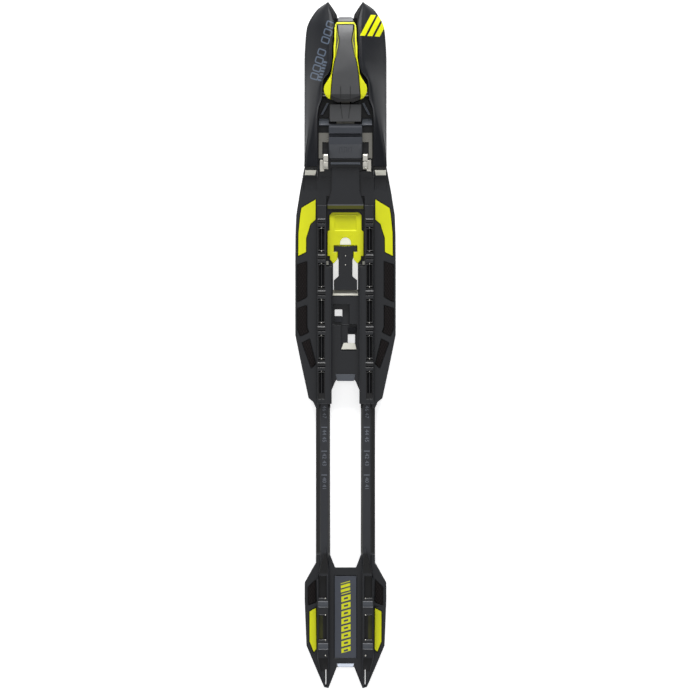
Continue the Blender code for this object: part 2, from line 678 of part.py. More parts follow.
def build_lock():
    """The coloured slider, the springy tongue hooked into it by a T and the toothed key under the tongue."""
    front = LOCK_FRONT
    narrow = LOCK_HALF - 1.1
    right = [(narrow - 1.5, front), (narrow, front - 1.5), (narrow, front - 9.8), (LOCK_HALF, front - 10.8)]
    right += [(LOCK_HALF, front - 24.3), (narrow - 0.2, front - 24.3), (narrow - 0.2, front - 26.2)]
    right += [(narrow - 2.2, front - 28.6), (4.5, front - 26.2), (4.5, front - 22.1)]
    right += [(6.6, front - 22.1), (6.6, front - 18.4), (3.0, front - 18.4)]
    top = arc((0, front - 17.0), 3.0, 0, 90, 5)
    slider = push("lock_slider", mirrored([*right, *top]), LOCK_BOTTOM, LOCK_TOP)
    cut(slider, box("slider dish", (-5.95, front - 10.2, LOCK_TOP - 0.9), (5.95, front - 1.6, LOCK_TOP + 1)))
    head = [(6.3, front - 18.9), (6.3, front - 21.6), (4.2, front - 21.6), (4.2, front - 26.2), (3.9, front - 26.2)]
    stem = [(3.9, front - 35.6), (6.5, front - 37.8), (6.5, front - 43.2)]
    tongue = push("lock_tongue", mirrored([*head, *stem]), LOCK_BOTTOM + 0.3, LOCK_TOP - 0.3)
    teeth = [(front - 38.4, LOCK_BOTTOM), (front - 42.9, LOCK_BOTTOM)]
    for i in range(3):
        tooth = front - 42.9 + 1.5 * i
        teeth += [(tooth, 4.4), (tooth + 0.35, 3.3), (tooth + 0.85, 3.3), (tooth + 1.2, 4.4)]
    key = push("lock_key", teeth, -5.2, 5.2, "X")
    return slider, tongue, key


# ---------------------------------------------------------------- heel


def heel_pad():
    return [(16.85, 60.1), (HEEL_HALF - 2.0, 56.3), (HEEL_HALF - 2.1, 46.8), (16.5, 48.3)]


def heel_inlay():
    return [(16.4, 44.8), (HEEL_HALF - 2.8, 42.9), (HEEL_HALF - 2.8, 26.3), (HEEL_HALF - 5.1, 20.5), (16.2, 22.1)]


def build_heel():
    """The heel plate and its two rails in one moulding, with ridges that carry on from the rails."""
    top = 8.0
    outline = [(5.8, 67.4), (RAIL_INNER, 74.7), (RAIL_OUTER, 74.7), (RAIL_OUTER, 70.1), (HEEL_HALF, 58.9)]
    outline += [(HEEL_HALF, 49.7), (HEEL_HALF - 1.0, 23.9), (11.9, 0.6), (9.5, 0), (4.95, 11.7)]
    heel = push("heel_frame", mirrored(outline), 0, top, at=HEEL)
    front = BAR_Y + RAIL_FRONT - HEEL_Y
    for side, name in ((1, "right"), (-1, "left")):
        section = rail_section() if side > 0 else flipped(rail_section())
        add(heel, push(f"rail {name}", section, 60, front, "Y", HEEL))
        wedge = [(11.0, 78.4), (14.6, 66.0), (15.6, 60.0), (15.6, 17.0), (11.6, 1.6), (9.9, 1.2), (9.3, 10.0), (9.3, 66.0)]
        wedge = wedge if side > 0 else flipped(wedge)
        add(heel, push(f"heel ridge {name}", wedge, 5, RIDGE_TOP, at=HEEL))
    nose = [(60, RIDGE_TOP), (80, RAIL_TOP), (80, 20), (60, 20)]
    cut(heel, push("ridge nose", nose, -30, 30, "X", HEEL))
    tail = [(20, RIDGE_TOP), (-2, 6), (-2, 20), (20, 20)]
    cut(heel, push("ridge tail", tail, -30, 30, "X", HEEL))
    cut(heel, box("heel channel", (-CHANNEL_HALF, -2, -1), (CHANNEL_HALF, 80, CHANNEL_TOP), HEEL))
    half = POCKET_WIDTH / 2 + 0.3
    floor = RIDGE_TOP - 2.8
    spans = ((50.6, 63.0), (27.4, 41.4), (13.0, 18.8))
    trenches = [((12.7 - half, a, floor), (12.7 + half, b, RIDGE_TOP + 1)) for a, b in spans[:2]]
    mirror_cut(heel, boxes("heel pockets", trenches, HEEL))
    cut(heel, box("label recess", (-6.3, 16.8, top - 0.8), (6.3, 63.0, top + 1), HEEL))
    for name, outline in (("heel pad", heel_pad()), ("heel inlay", heel_inlay())):
        mirror_cut(heel, push(f"{name} recess", grown(outline, GAP), top - TRIM_DEPTH, top + 1, at=HEEL))
    label = box("heel_label", (-6.0, 17.1, top - 0.5), (6.0, 62.7, top + 0.1), HEEL)
    return heel, label, top


def trim_pieces(prefix, outline, top, at):
    """The right and left copies of a flat trim piece in its recess."""
    low = top - TRIM_DEPTH + GAP
    right = push(f"{prefix}_right", outline, low, top + 0.35, at=at)
    left = push(f"{prefix}_left", flipped(outline), low, top + 0.35, at=at)
    return right, left


def main():
    black = new_material("black moulding", (0.022, 0.023, 0.026), 0.4)
    rubber = new_material("grip rubber", (0.012, 0.010, 0.010), 0.75)
    grey = new_material("grey moulding", (0.09, 0.09, 0.1), 0.42)
    yellow = new_material("lime yellow moulding", (0.76, 0.75, 0.01), 0.38)
    steel = new_material("steel", (0.62, 0.6, 0.54), 0.28, 1.0)
    label_grey = new_material("label plate", (0.06, 0.068, 0.085), 0.45)

    toe_unit = axis_empty("toe_unit", TOE)
    lever_axis = axis_empty("lever_axis", (0, BAR_Y + LEVER_Y, LEVER_Z), toe_unit)
    jaw_track = axis_empty("jaw_track", (0, BAR_Y, JAW_BOTTOM), toe_unit)
    link_axis = axis_empty("link_axis", (0, BAR_Y + JAW_PIN_Y, JAW_PIN_Z), jaw_track)
    lock_track = axis_empty("lock_track", (0, BAR_Y + LOCK_FRONT, LOCK_BOTTOM), toe_unit)
    heel_track = axis_empty("heel_track", HEEL, toe_unit)

    finish(build_chassis(), toe_unit, black)
    finish(build_housing(), toe_unit, black)
    finish(build_cover_plate(), toe_unit, grey)
    finish(build_flexor(), toe_unit, rubber)
    finish(build_centre_block(), toe_unit, black)
    pin_half = WELL_HALF - 1.2
    finish(rod("lever_pin", PIN_RADIUS, (-pin_half, pin_half), LEVER_Y, LEVER_Z), toe_unit, steel)
    for side, name in ((1, "right"), (-1, "left")):
        fixed, moving = build_hooks(side, name)
        finish(fixed, toe_unit, steel)
        finish(moving, jaw_track, steel)
    for name, outline in deck_pads().items():
        for pad in trim_pieces(f"pad_{name}", outline, DECK_TOP, TOE):
            finish(pad, toe_unit, rubber)
    for inlay in trim_pieces("deck_inlay", deck_inlay(), DECK_TOP, TOE):
        finish(inlay, toe_unit, yellow)

    body, trim = build_lever()
    finish(body, lever_axis, grey)
    finish(trim, lever_axis, yellow)
    crank_half = LINK_HALF + RUN + EAR_WIDTH
    crank = rod("crank_pin", SMALL_PIN, (-crank_half, crank_half), CRANK_Y, CRANK_Z, sides=12)
    finish(crank, lever_axis, steel)
    finish(build_link(), link_axis, steel)
    finish(build_jaw(), jaw_track, steel)
    jaw_pin = rod("jaw_pin", SMALL_PIN, (-crank_half, crank_half), JAW_PIN_Y, JAW_PIN_Z, sides=12)
    finish(jaw_pin, jaw_track, steel)

    slider, tongue, key = build_lock()
    finish(slider, lock_track, yellow)
    finish(tongue, lock_track, black)
    finish(key, lock_track, steel)

    heel, label, heel_top = build_heel()
    finish(heel, heel_track, black)
    finish(label, heel_track, label_grey)
    for pad in trim_pieces("heel_pad", heel_pad(), heel_top, HEEL):
        finish(pad, heel_track, rubber)
    for inlay in trim_pieces("heel_inlay", heel_inlay(), heel_top, HEEL):
        finish(inlay, heel_track, yellow)


clear_scene()
PIECES = new_collection("cross_country_binding")
HELPERS = new_collection("cutters", hidden=True)
main()
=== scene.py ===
"""Cross-country ski binding: the fine surfaces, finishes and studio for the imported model.

It is laid out as an add-on: the sizes and colours are properties, each group of pieces has its own operator, and
the panel in the 3D view's sidebar lists them in the order in which main() calls them.
"""

import math

import bmesh
import bpy
from mathutils import Matrix, Vector


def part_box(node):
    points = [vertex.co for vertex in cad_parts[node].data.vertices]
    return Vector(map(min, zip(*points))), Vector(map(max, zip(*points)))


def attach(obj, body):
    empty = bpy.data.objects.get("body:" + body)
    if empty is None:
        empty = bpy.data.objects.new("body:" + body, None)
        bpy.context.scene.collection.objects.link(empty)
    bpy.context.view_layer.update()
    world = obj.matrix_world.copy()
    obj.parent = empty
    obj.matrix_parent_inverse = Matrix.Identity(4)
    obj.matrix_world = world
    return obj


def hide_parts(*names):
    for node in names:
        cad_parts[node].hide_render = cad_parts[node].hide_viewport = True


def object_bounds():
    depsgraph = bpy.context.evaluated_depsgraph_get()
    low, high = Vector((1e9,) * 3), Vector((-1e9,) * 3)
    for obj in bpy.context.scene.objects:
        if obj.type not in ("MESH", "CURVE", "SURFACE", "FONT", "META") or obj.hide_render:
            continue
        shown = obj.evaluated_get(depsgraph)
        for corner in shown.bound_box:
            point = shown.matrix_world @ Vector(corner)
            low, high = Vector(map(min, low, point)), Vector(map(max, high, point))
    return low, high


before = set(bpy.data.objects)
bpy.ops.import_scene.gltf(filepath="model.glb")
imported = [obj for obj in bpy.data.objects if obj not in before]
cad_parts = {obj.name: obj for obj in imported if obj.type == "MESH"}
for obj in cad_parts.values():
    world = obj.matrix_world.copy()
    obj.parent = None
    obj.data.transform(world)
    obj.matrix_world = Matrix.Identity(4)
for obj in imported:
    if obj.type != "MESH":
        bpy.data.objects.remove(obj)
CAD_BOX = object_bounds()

bl_info = {
    "name": "Cross-country binding looks",
    "version": (1, 0, 0),
    "blender": (4, 5, 0),
    "location": "3D View > Sidebar > Binding",
    "description": "Fine surfaces, finishes and studio for a slide-on cross-country ski binding",
    "category": "Object",
}

MM = 0.001

# The axis of the boot's toe bar lies midway between the fixed hook and the jaw's hook. The toe unit is measured
# from it, and the heel plate from its own rear end.
BAR_Y = (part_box("fixed_hook_left")[1].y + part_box("jaw_hook_left")[0].y) / 2
HEEL_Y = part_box("heel_frame")[0].y
DECK_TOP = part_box("deck_inlay_left")[1].z - 0.35 * MM
RIDGE_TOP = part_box("chassis")[1].z
HEEL_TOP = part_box("heel_label")[1].z - 0.1 * MM


# Distances from the middle, in metres: the bridges in a ridge's channel, and the figures on a rail
CHANNEL_X = 13.35 * MM
RAIL_X = 11.85 * MM
RAIL_TOP = 9.4 * MM
BRIDGES = 5

# Thickness of the small plates that are laid on the deck, in millimetres
THIN = 0.4
THICK = 0.5

SLOW = 0.018  # size in metres of the slow changes of gloss and shade
SENSOR = 36  # width of the camera's sensor, in millimetres
VIEW_MARGIN = 1.8 * MM


# ---------------------------------------------------------------- sizes and colours that a user would change


def length(name, description, default):
    return bpy.props.FloatProperty(name=name, description=description, default=default, unit="LENGTH", precision=5)


def amount(name, description, default):
    return bpy.props.FloatProperty(name=name, description=description, default=default, min=0, max=1)


def colour(name, description, default):
    return bpy.props.FloatVectorProperty(
        name=name, description=description, default=default, subtype="COLOR", size=3, min=0, max=1
    )


class BindingSizes(bpy.types.PropertyGroup):
    edge_round: length("Edge rounding", "Radius on the edges of the mouldings", 0.25 * MM)
    steel_round: length("Steel rounding", "Radius on the edges of the pressed steel", 0.2 * MM)
    grain: length("Grain", "Size of the fine grain in the black moulding", 0.35 * MM)
    bridge_pitch: length("Bridge pitch", "Distance between the bridges along a ridge", 20 * MM)
    tick_pitch: length("Mark pitch", "Distance between two size marks on a rail", 13.3 * MM)
    print_height: length("Print height", "Height of the printed blocks on the housing", 4.9 * MM)
    lens: bpy.props.FloatProperty(name="Lens", description="Focal length of the camera, in mm", default=200)


class BindingColours(bpy.types.PropertyGroup):
    black: colour("Black", "Fibre-filled black moulding", (0.015, 0.016, 0.019))
    gloss: colour("Gloss black", "Polished channels of the ridges", (0.006, 0.006, 0.007))
    grey: colour("Grey", "Lever and cover plate", (0.056, 0.057, 0.060))
    lime: colour("Lime", "Trim, inlays and slider", (0.76, 0.78, 0.004))
    rubber: colour("Rubber", "Grip pads", (0.010, 0.008, 0.008))
    flexor: colour("Flexor", "Hard rubber of the flexor", (0.046, 0.050, 0.060))
    steel: colour("Steel", "Jaw, hooks and pins", (0.64, 0.62, 0.56))
    # Blue grey is the colour of the rail figures and marks; on the bars, sills and bevels it is a painted highlight,
    # in lighter and darker copies for how much light each catches.
    blue_grey: colour("Blue grey", "Polished bars and sills", (0.14, 0.155, 0.185))
    # Painted reflection: the pale plates stand in for the light that bevels and ramps at the ends of the windows
    # reflect.
    plate: colour("Satin plate", "Pale plates at the ends of the windows", (0.55, 0.54, 0.47))
    label: colour("Label", "Plate on the heel", (0.055, 0.062, 0.082))
    print_grey: colour("Grey print", "Blocks printed on the left of the housing", (0.10, 0.13, 0.18))
    black_roughness: amount("Black roughness", "Roughness of the black moulding", 0.38)
    lime_roughness: amount("Lime roughness", "Roughness of the lime moulding", 0.42)


# ---------------------------------------------------------------- node trees


class Signal:
    """A number that comes out of a socket. Arithmetic on it adds Math nodes."""

    def __init__(self, tree, socket):
        self.tree = tree
        self.socket = socket

    def maths(self, operation, *values, clamp=False):
        settings = {"operation": operation, "use_clamp": clamp}
        return self.tree.add("ShaderNodeMath", settings, dict(enumerate(values))).out()

    def __add__(self, other):
        return self.maths("ADD", self, other)

    def __radd__(self, other):
        return self.maths("ADD", other, self)

    def __sub__(self, other):
        return self.maths("SUBTRACT", self, other)

    def __rsub__(self, other):
        return self.maths("SUBTRACT", other, self)

    def __mul__(self, other):
        return self.maths("MULTIPLY", self, other)

    def __abs__(self):
        return self.maths("ABSOLUTE", self)

    def over(self, edge, soft=0.15):
        """1 where the signal is past the edge and 0 before it, with a soft change this wide."""
        return self.maths("MULTIPLY_ADD", self - edge, 1 / soft, 0.5, clamp=True)

    def within(self, low, high, soft=0.15):
        return self.over(low, soft) * (1 - self.over(high, soft))

    def most(self, other):
        return self.maths("MAXIMUM", self, other)

    def repeated(self, pitch):
        """The distance from the middle of the nearest of a row of cells of this pitch."""
        return self.maths("WRAP", self, pitch / 2, -pitch / 2)


class Made:
    """A node that was added to a tree."""

    def __init__(self, tree, node):
        self.tree = tree
        self.node = node

    def out(self, name=0):
        return Signal(self.tree, self.node.outputs[name])


class Tree:
    """Adds nodes to a shader or geometry tree."""

    def __init__(self, tree):
        self.tree = tree

    def add(self, kind, settings=None, values=None):
        """A node of this type: its settings first, then the values or links of its sockets."""
        node = self.tree.nodes.new(kind)
        for name, value in (settings or {}).items():
            setattr(node, name, value)
        for name, value in (values or {}).items():
            self.join(value, node.inputs[name])
        return Made(self, node)

    def join(self, value, socket):
        if isinstance(value, Signal):
            self.tree.links.new(value.socket, socket)
        else:
            socket.default_value = value

    def place(self, y=0.0):
        """X, Y and Z of the point in millimetres, with Y measured from a place along the binding."""
        point = self.add("ShaderNodeTexCoord").out("Object")
        parts = self.add("ShaderNodeSeparateXYZ", None, {0: point})
        return parts.out(0) * 1000, parts.out(1) * 1000 - y * 1000, parts.out(2) * 1000

    def noise(self, size, detail=2.0, stretch=(1, 1, 1)):
        """Smooth noise from 0 to 1 with features about this many metres across."""
        point = self.add("ShaderNodeTexCoord").out("Object")
        turned = self.add("ShaderNodeMapping", None, {"Vector": point, "Scale": stretch}).out()
        return self.add("ShaderNodeTexNoise", None, {"Vector": turned, "Scale": 1 / size, "Detail": detail}).out(0)

    def mix(self, mask, low, high):
        """A colour that goes from one to the other as the mask goes from 0 to 1."""
        low = low if isinstance(low, Signal) else (*low, 1)
        high = high if isinstance(high, Signal) else (*high, 1)
        settings = {"data_type": "RGBA", "clamp_factor": True}
        return self.add("ShaderNodeMix", settings, {0: mask, 6: low, 7: high}).out(2)

    def bump(self, height, distance):
        """A normal from a height of 0 to 1 that stands for this many metres."""
        return self.add("ShaderNodeBump", None, {"Height": height, "Distance": distance}).out()

    def mottled(self, slow, base, low=0.86, high=1.16):
        """A colour that wanders between two shades of a base."""
        return self.mix(slow, shades(base, low), shades(base, high))


def finish(name):
    """A new material's tree, its shader, and the material."""
    material = bpy.data.materials.new(name)
    material.use_nodes = True
    return material, Tree(material.node_tree), material.node_tree.nodes["Principled BSDF"]


def shades(colours, by):
    return [value * by for value in colours]


def moulding(name, base, roughness, grain, depth, specular=0.36):
    """Moulded plastic: a fine grain, slow changes of gloss and a little mottling of the colour."""
    material, tree, shader = finish(name)
    slow = tree.noise(SLOW, 3)
    fine = tree.noise(grain, 3)
    tree.join(tree.mottled(slow, base), shader.inputs["Base Color"])
    tree.join(roughness - 0.06 + slow * 0.08 + fine * 0.05, shader.inputs["Roughness"])
    tree.join(tree.bump(fine, depth), shader.inputs["Normal"])
    shader.inputs["Specular IOR Level"].default_value = specular
    return material, tree, shader


def ready(name, make, *values):
    """The material of this name, made the first time that it is asked for."""
    return bpy.data.materials.get(name) or make(name, *values)


def palette():
    return bpy.context.scene.binding_colours


def sizes():
    return bpy.context.scene.binding_sizes


def black():
    look = palette()
    return ready("black_moulding", lambda n: moulding(n, look.black, look.black_roughness, sizes().grain, 4e-6)[0])


def gloss_black():
    return ready("polished_black", lambda n: moulding(n, palette().gloss, 0.16, 0.002, 2e-6)[0])


def grey():
    return ready("grey_moulding", lambda n: moulding(n, palette().grey, 0.4, sizes().grain, 4e-6)[0])


def lime():
    look = palette()
    return ready("lime_moulding", lambda n: moulding(n, look.lime, look.lime_roughness, sizes().grain, 2e-6)[0])


def make_grip_rubber(name):
    """Matt rubber with a fine diamond relief."""
    material, tree, shader = finish(name)
    x, y, _ = tree.place(BAR_Y)
    fine = tree.noise(0.0004, 3)
    one = abs((x + y * 0.6).repeated(1.5)).over(0.28, 0.3)
    two = abs((x - y * 0.6).repeated(1.5)).over(0.28, 0.3)
    relief = one * two * 0.8 + fine * 0.2
    base = palette().rubber
    tree.join(tree.mix(relief, shades(base, 0.7), shades(base, 1.5)), shader.inputs["Base Color"])
    tree.join(0.62 + fine * 0.2, shader.inputs["Roughness"])
    tree.join(tree.bump(relief, 9e-5), shader.inputs["Normal"])
    shader.inputs["Specular IOR Level"].default_value = 0.12
    return material


def make_steel(name, by=1.0):
    """Pressed steel, polished along X, with faint drawing lines."""
    material, tree, shader = finish(name)
    lines = tree.noise(0.00025, 2, (0.12, 1, 1))
    slow = tree.noise(0.006, 2)
    base = palette().steel
    tree.join(tree.mottled(slow, base, 0.86 * by, 1.12 * by), shader.inputs["Base Color"])
    tree.join(0.2 + lines * 0.12 + slow * 0.06, shader.inputs["Roughness"])
    tree.join(tree.bump(lines, 3e-6), shader.inputs["Normal"])
    shader.inputs["Metallic"].default_value = 1.0
    return material


# Lit and shaded copies of the blue grey: the factor paints a bar, sill or bevel paler or darker for how much light it
# catches.
def blue_grey(by=1.0):
    shade = shades(palette().blue_grey, by)
    return ready(f"blue_grey_{by}", lambda n: moulding(n, shade, 0.4, sizes().grain, 8e-6, 0.5)[0])


def matt_black():
    return ready("matt_black", lambda n: moulding(n, palette().black, 0.75, sizes().grain, 1e-5, 0.15)[0])


# Painted reflection: a pale plate laid where the moulding only reflects the bright surroundings.
def pale_reflection_plate():
    return ready("pale_reflection_plate", lambda n: moulding(n, palette().plate, 0.45, sizes().grain, 4e-6)[0])


def grip_rubber():
    return ready("grip_rubber", make_grip_rubber)


def steel():
    return ready("steel", make_steel)


# ---------------------------------------------------------------- meshes


def piece(name, mesh, material, body, slot, *nodes, sharp=0):
    """Puts a mesh whose points are in the row frame on a body, in place of the CAD nodes named."""
    obj = bpy.data.objects.new(name, mesh)
    bpy.context.scene.collection.objects.link(obj)
    mesh.materials.clear()
    mesh.materials.append(material)
    if sharp:
        mesh.shade_smooth()
        mesh.set_sharp_from_angle(angle=math.radians(sharp))
    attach(obj, body)
    if nodes:
        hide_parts(*nodes)
    return obj


def mesh_of(shape, name):
    mesh = bpy.data.meshes.new(name)
    shape.to_mesh(mesh)
    shape.free()
    return mesh


def baked(obj, name):
    """The mesh of an object with its modifiers, and the object removed."""
    bpy.context.view_layer.update()
    mesh = bpy.data.meshes.new_from_object(obj.evaluated_get(bpy.context.evaluated_depsgraph_get()))
    mesh.name = name
    bpy.data.objects.remove(obj)
    return mesh


def helper(name, mesh):
    obj = bpy.data.objects.new(name, mesh)
    bpy.context.scene.collection.objects.link(obj)
    return obj


def merged_copy(node):
    """The shape of a CAD node with its points merged."""
    shape = bmesh.new()
    shape.from_mesh(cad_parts[node].data)
    bmesh.ops.remove_doubles(shape, verts=shape.verts, dist=2e-6)
    return shape


def rounded(mesh, name, width, angle=30, cutter=None):
    """A mesh less a cutter, with its edges rounded and its normals weighted by the faces' areas."""
    mesh.shade_smooth()
    obj = helper(name, mesh)
    if cutter:
        cut = obj.modifiers.new("cut", "BOOLEAN")
        cut.operation = "DIFFERENCE"
        cut.object = cutter
    bevel = obj.modifiers.new("edges", "BEVEL")
    bevel.width = width
    bevel.segments = 2
    bevel.limit_method = "ANGLE"
    bevel.angle_limit = math.radians(angle)
    bevel.use_clamp_overlap = False
    weigh = obj.modifiers.new("normals", "WEIGHTED_NORMAL")
    weigh.weight = 90
    return baked(obj, name)


def rounded_node(node, material, body, slot, width=None, angle=30, cuts=None):
    """A rounded copy of a CAD node in place of the node, less the shape of any cuts."""
    width = sizes().edge_round if width is None else width
    cutter = helper("cutter", mesh_of(cuts, "cutter")) if cuts else None
    mesh = rounded(mesh_of(merged_copy(node), node), f"{node}_fine", width, angle, cutter)
    if cutter:
        bpy.data.objects.remove(cutter)
    return piece(f"{node}_fine", mesh, material, body, slot, node)


def smooth_between(rows, y):
    """The values of a table at a place between its rows, on a smooth curve that never overshoots."""
    rows = sorted(rows)
    if y <= rows[0][0]:
        return rows[0][1:]
    if y >= rows[-1][0]:
        return rows[-1][1:]
    k = max(i for i, row in enumerate(rows) if row[0] <= y)
    low, high = rows[k], rows[k + 1]
    before, after = rows[max(k - 1, 0)], rows[min(k + 2, len(rows) - 1)]
    step = high[0] - low[0]
    t = (y - low[0]) / step
    result = []
    for a, b, c, d in zip(before[1:], low[1:], high[1:], after[1:]):
        rise = (c - b) / step
        start = slope((b - a) / (low[0] - before[0]) if low[0] > before[0] else rise, rise)
        end = slope(rise, (d - c) / (after[0] - high[0]) if after[0] > high[0] else rise)
        h = (2 * t**3 - 3 * t**2 + 1) * b + (t**3 - 2 * t**2 + t) * step * start
        result.append(h + (3 * t**2 - 2 * t**3) * c + (t**3 - t**2) * step * end)
    return result


def slope(one, two):
    """The slope at a row between two runs: their harmonic mean, or level where they turn back."""
    return 2 * one * two / (one + two) if one * two > 0 else 0.0


def bend(start, control, end, steps):
    """Points of a quadratic curve, without its start."""
    points = []
    for i in range(1, steps + 1):
        t = i / steps
        pairs = zip(start, control, end)
        points.append(tuple((1 - t) ** 2 * a + 2 * t * (1 - t) * b + t**2 * c for a, b, c in pairs))
    return points


def skin(shape, sections):
    """A closed skin over sections that have the same number of points each."""
    rings = [[shape.verts.new(point) for point in section] for section in sections]
    count = len(rings[0])
    for one, two in zip(rings, rings[1:]):
        for i in range(count):
            j = (i + 1) % count
            shape.faces.new((one[i], one[j], two[j], two[i]))
    shape.faces.new(rings[0])
    shape.faces.new(rings[-1])


def tidy(shape):
    bmesh.ops.remove_doubles(shape, verts=shape.verts, dist=1e-7)
    bmesh.ops.recalc_face_normals(shape, faces=shape.faces)


def add_block(shape, low, high):
    """A block between two corners in metres."""
    size = [b - a for a, b in zip(low, high)]
    middle = [(a + b) / 2 for a, b in zip(low, high)]
    bmesh.ops.create_cube(shape, size=1, matrix=Matrix.Translation(middle) @ Matrix.Diagonal((*size, 1)))


def add_prism(shape, outline, x, at):
    """An outline (y, z) in millimetres pushed along X between two values of x, at a place along the binding."""
    rings = [[shape.verts.new((side * MM, at + y * MM, z * MM)) for y, z in outline] for side in x]
    shape.faces.new(rings[0])
    shape.faces.new(rings[1][::-1])
    for i in range(len(outline)):
        j = (i + 1) % len(outline)
        shape.faces.new((rings[0][j], rings[0][i], rings[1][i], rings[1][j]))


def add_slab(shape, corners, thick, at):
    """A plate below four corners (x, y, z) in millimetres, at a place along the binding."""
    top = [shape.verts.new((x * MM, at + y * MM, z * MM)) for x, y, z in corners]
    low = [shape.verts.new((x * MM, at + y * MM, (z - thick) * MM)) for x, y, z in corners]
    shape.faces.new(top)
    shape.faces.new(low[::-1])
    for i in range(4):
        j = (i + 1) % 4
        shape.faces.new((top[j], top[i], low[i], low[j]))


def add_ramp(shape, front, rear, thick, at):
    """A plate whose front and rear edges are each (x, other x, y, z) in millimetres."""
    corners = [(front[0], *front[2:]), (front[1], *front[2:]), (rear[1], *rear[2:]), (rear[0], *rear[2:])]
    add_slab(shape, corners, thick, at)


def both_sides(near, far):
    """The lower and upper x of a shape on the left and then on the right, from its distances in millimetres."""
    return [sorted((side * near * MM, side * far * MM)) for side in (-1, 1)]


def add_dot(shape, x, y, z, radius):
    """A small domed rivet head that faces up."""
    at = Matrix.Translation((x, y, z)) @ Matrix.Diagonal((1, 1, 0.6, 1))
    bmesh.ops.create_uvsphere(shape, u_segments=12, v_segments=6, radius=radius, matrix=at)


def add_barrel(shape, x, y, z, half_x, half_y, height):
    """A bridge across a channel: a low barrel with its axis along X."""
    place = Matrix.Translation((x, y, z)) @ Matrix.Diagonal((1, half_y, height, 1))
    turn = place @ Matrix.Rotation(math.pi / 2, 4, "Y")
    bmesh.ops.create_cone(shape, cap_ends=True, segments=24, radius1=1, radius2=1, depth=2 * half_x, matrix=turn)


def add_rod(shape, x, y, z, radius, height, long):
    """A rod along Y that starts at a point and runs to the rear."""
    place = Matrix.Translation((x, y - long / 2, z)) @ Matrix.Diagonal((radius, 1, height, 1))
    turn = place @ Matrix.Rotation(math.pi / 2, 4, "X")
    bmesh.ops.create_cone(shape, cap_ends=True, segments=20, radius1=1, radius2=1, depth=long, matrix=turn)


def rounded_piece(name, shape, width, material, body, slot):
    """A piece from a shape, with its normals made to face out and its edges rounded."""
    tidy(shape)
    return piece(name, rounded(mesh_of(shape, name), name, width), material, body, slot)


# ---------------------------------------------------------------- toe housing

# The right wing, from the bar: y, outer x, its height, crease x and height, crest x and height, foot of inner wall
WING = (
    (88.9, 10.3, 2.0, 9.9, 4.6, 9.6, 5.0, 9.3),
    (85.0, 15.7, 3.0, 9.9, 7.5, 8.3, 7.8, 6.6),
    (81.0, 18.6, 4.2, 9.2, 9.9, 7.0, 10.2, 4.6),
    (77.6, 20.5, 5.0, 9.0, 11.9, 6.5, 12.2, 5.2),
    (74.0, 21.7, 5.5, 8.9, 13.8, 6.8, 14.0, 6.4),
    (67.0, 22.4, 6.2, 9.1, 16.7, 7.1, 17.0, 6.95),
    (55.7, 22.9, 7.0, 9.8, 20.3, 7.5, 20.8, 7.35),
    (49.4, 22.9, 7.3, 11.6, 21.5, 8.5, 22.4, 8.3),
    (43.5, 22.9, 7.6, 14.0, 21.8, 12.3, 23.0, 12.2),
    (34.5, 22.9, 7.8, 15.7, 20.2, 12.8, 22.6, 12.6),
    (28.5, 22.9, 7.9, 16.8, 18.6, 14.8, 20.8, 14.7),
    (22.7, 22.9, 8.1, 18.0, 17.0, 15.4, 19.0, 15.3),
    (12.0, 22.9, 8.6, 20.1, 14.0, 15.4, 16.2, 15.3),
    (2.7, 22.9, 9.0, 21.9, 11.4, 15.4, 14.0, 15.3),
    (-3.1, 22.9, 9.2, 22.3, 10.8, 15.4, 13.0, 15.3),
)

# Edge of the floor below the housing, from the bar: y and half width
FLOOR_EDGE = ((-3.2, 20.2), (50.0, 20.2), (60.0, 18.7), (70.0, 15.9), (76.0, 10.2))
FLOOR_FRONT = 76.3
FLOOR_TOP = 9.0


def wing_section(y):
    """Section (x, z) of the right wing at a place along it, in millimetres, round from the outer foot."""
    outer, side, crease_x, crease_z, crest_x, crest_z, foot = smooth_between(WING, y)
    (floor,) = smooth_between(FLOOR_EDGE, y)
    rise = (crease_z - side) / (outer - crease_x)
    lip = min(0.9, 0.3 * (outer - crease_x))
    shoulder = (outer - lip, side + lip * rise)
    middle = ((outer + crease_x) / 2, (side + crease_z) / 2 + 1.3)
    soft = min(0.8, 0.25 * (crease_x - crest_x))
    start = (crease_x + soft, crease_z - soft * rise * 0.8)
    end = (crease_x - soft, crease_z + (crest_z - crease_z) * soft / (crease_x - crest_x))
    path = [(outer, 0.0), (outer, side * 0.5), (outer, side - 0.7)]
    path += bend((outer, side - 0.7), (outer, side + 0.1), shoulder, 5)
    path += bend(shoulder, middle, start, 12)
    path += bend(start, (crease_x, crease_z), end, 4)
    dip = ((crease_x + crest_x) / 2, (crease_z + crest_z) / 2 - 0.25)
    top = (crest_x + 0.35, crest_z)
    path += bend(end, dip, top, 5)
    path += bend(top, (crest_x, crest_z), (crest_x - 0.02, crest_z - 0.4), 3)
    under = FLOOR_TOP if y < FLOOR_FRONT else 0.02
    wall = max(floor + 0.3, foot + 0.1)
    low = min(under + 0.2, crest_z - 1)
    path += bend(path[-1], ((crest_x + foot) / 2, (crest_z + low) / 2), (foot, low), 5)
    path += [(foot, under), (wall, under), (wall, 0.01)]
    return path


def build_wings():
    """Both wings of the housing and the web that joins them below the lever's nose."""
    shape = bmesh.new()
    places = [88.9, 88.3, 87.6, 86.8, 85.9]
    places += [85.0 - 1.1 * i for i in range(80) if 85.0 - 1.1 * i > -3]
    places += [FLOOR_FRONT + 0.01, FLOOR_FRONT - 0.01, -3.1]
    for side in (1, -1):
        sections = []
        for y in sorted(places, reverse=True):
            sections.append([(side * x * MM, BAR_Y + y * MM, z * MM) for x, z in wing_section(y)])
        skin(shape, sections)
    web = Matrix.Translation((0, BAR_Y + 78.1 * MM, 4 * MM)) @ Matrix.Diagonal((16 * MM, 3 * MM, 8 * MM, 1))
    bmesh.ops.create_cube(shape, size=1, matrix=web)
    tidy(shape)
    return mesh_of(shape, "toe_housing_fine")


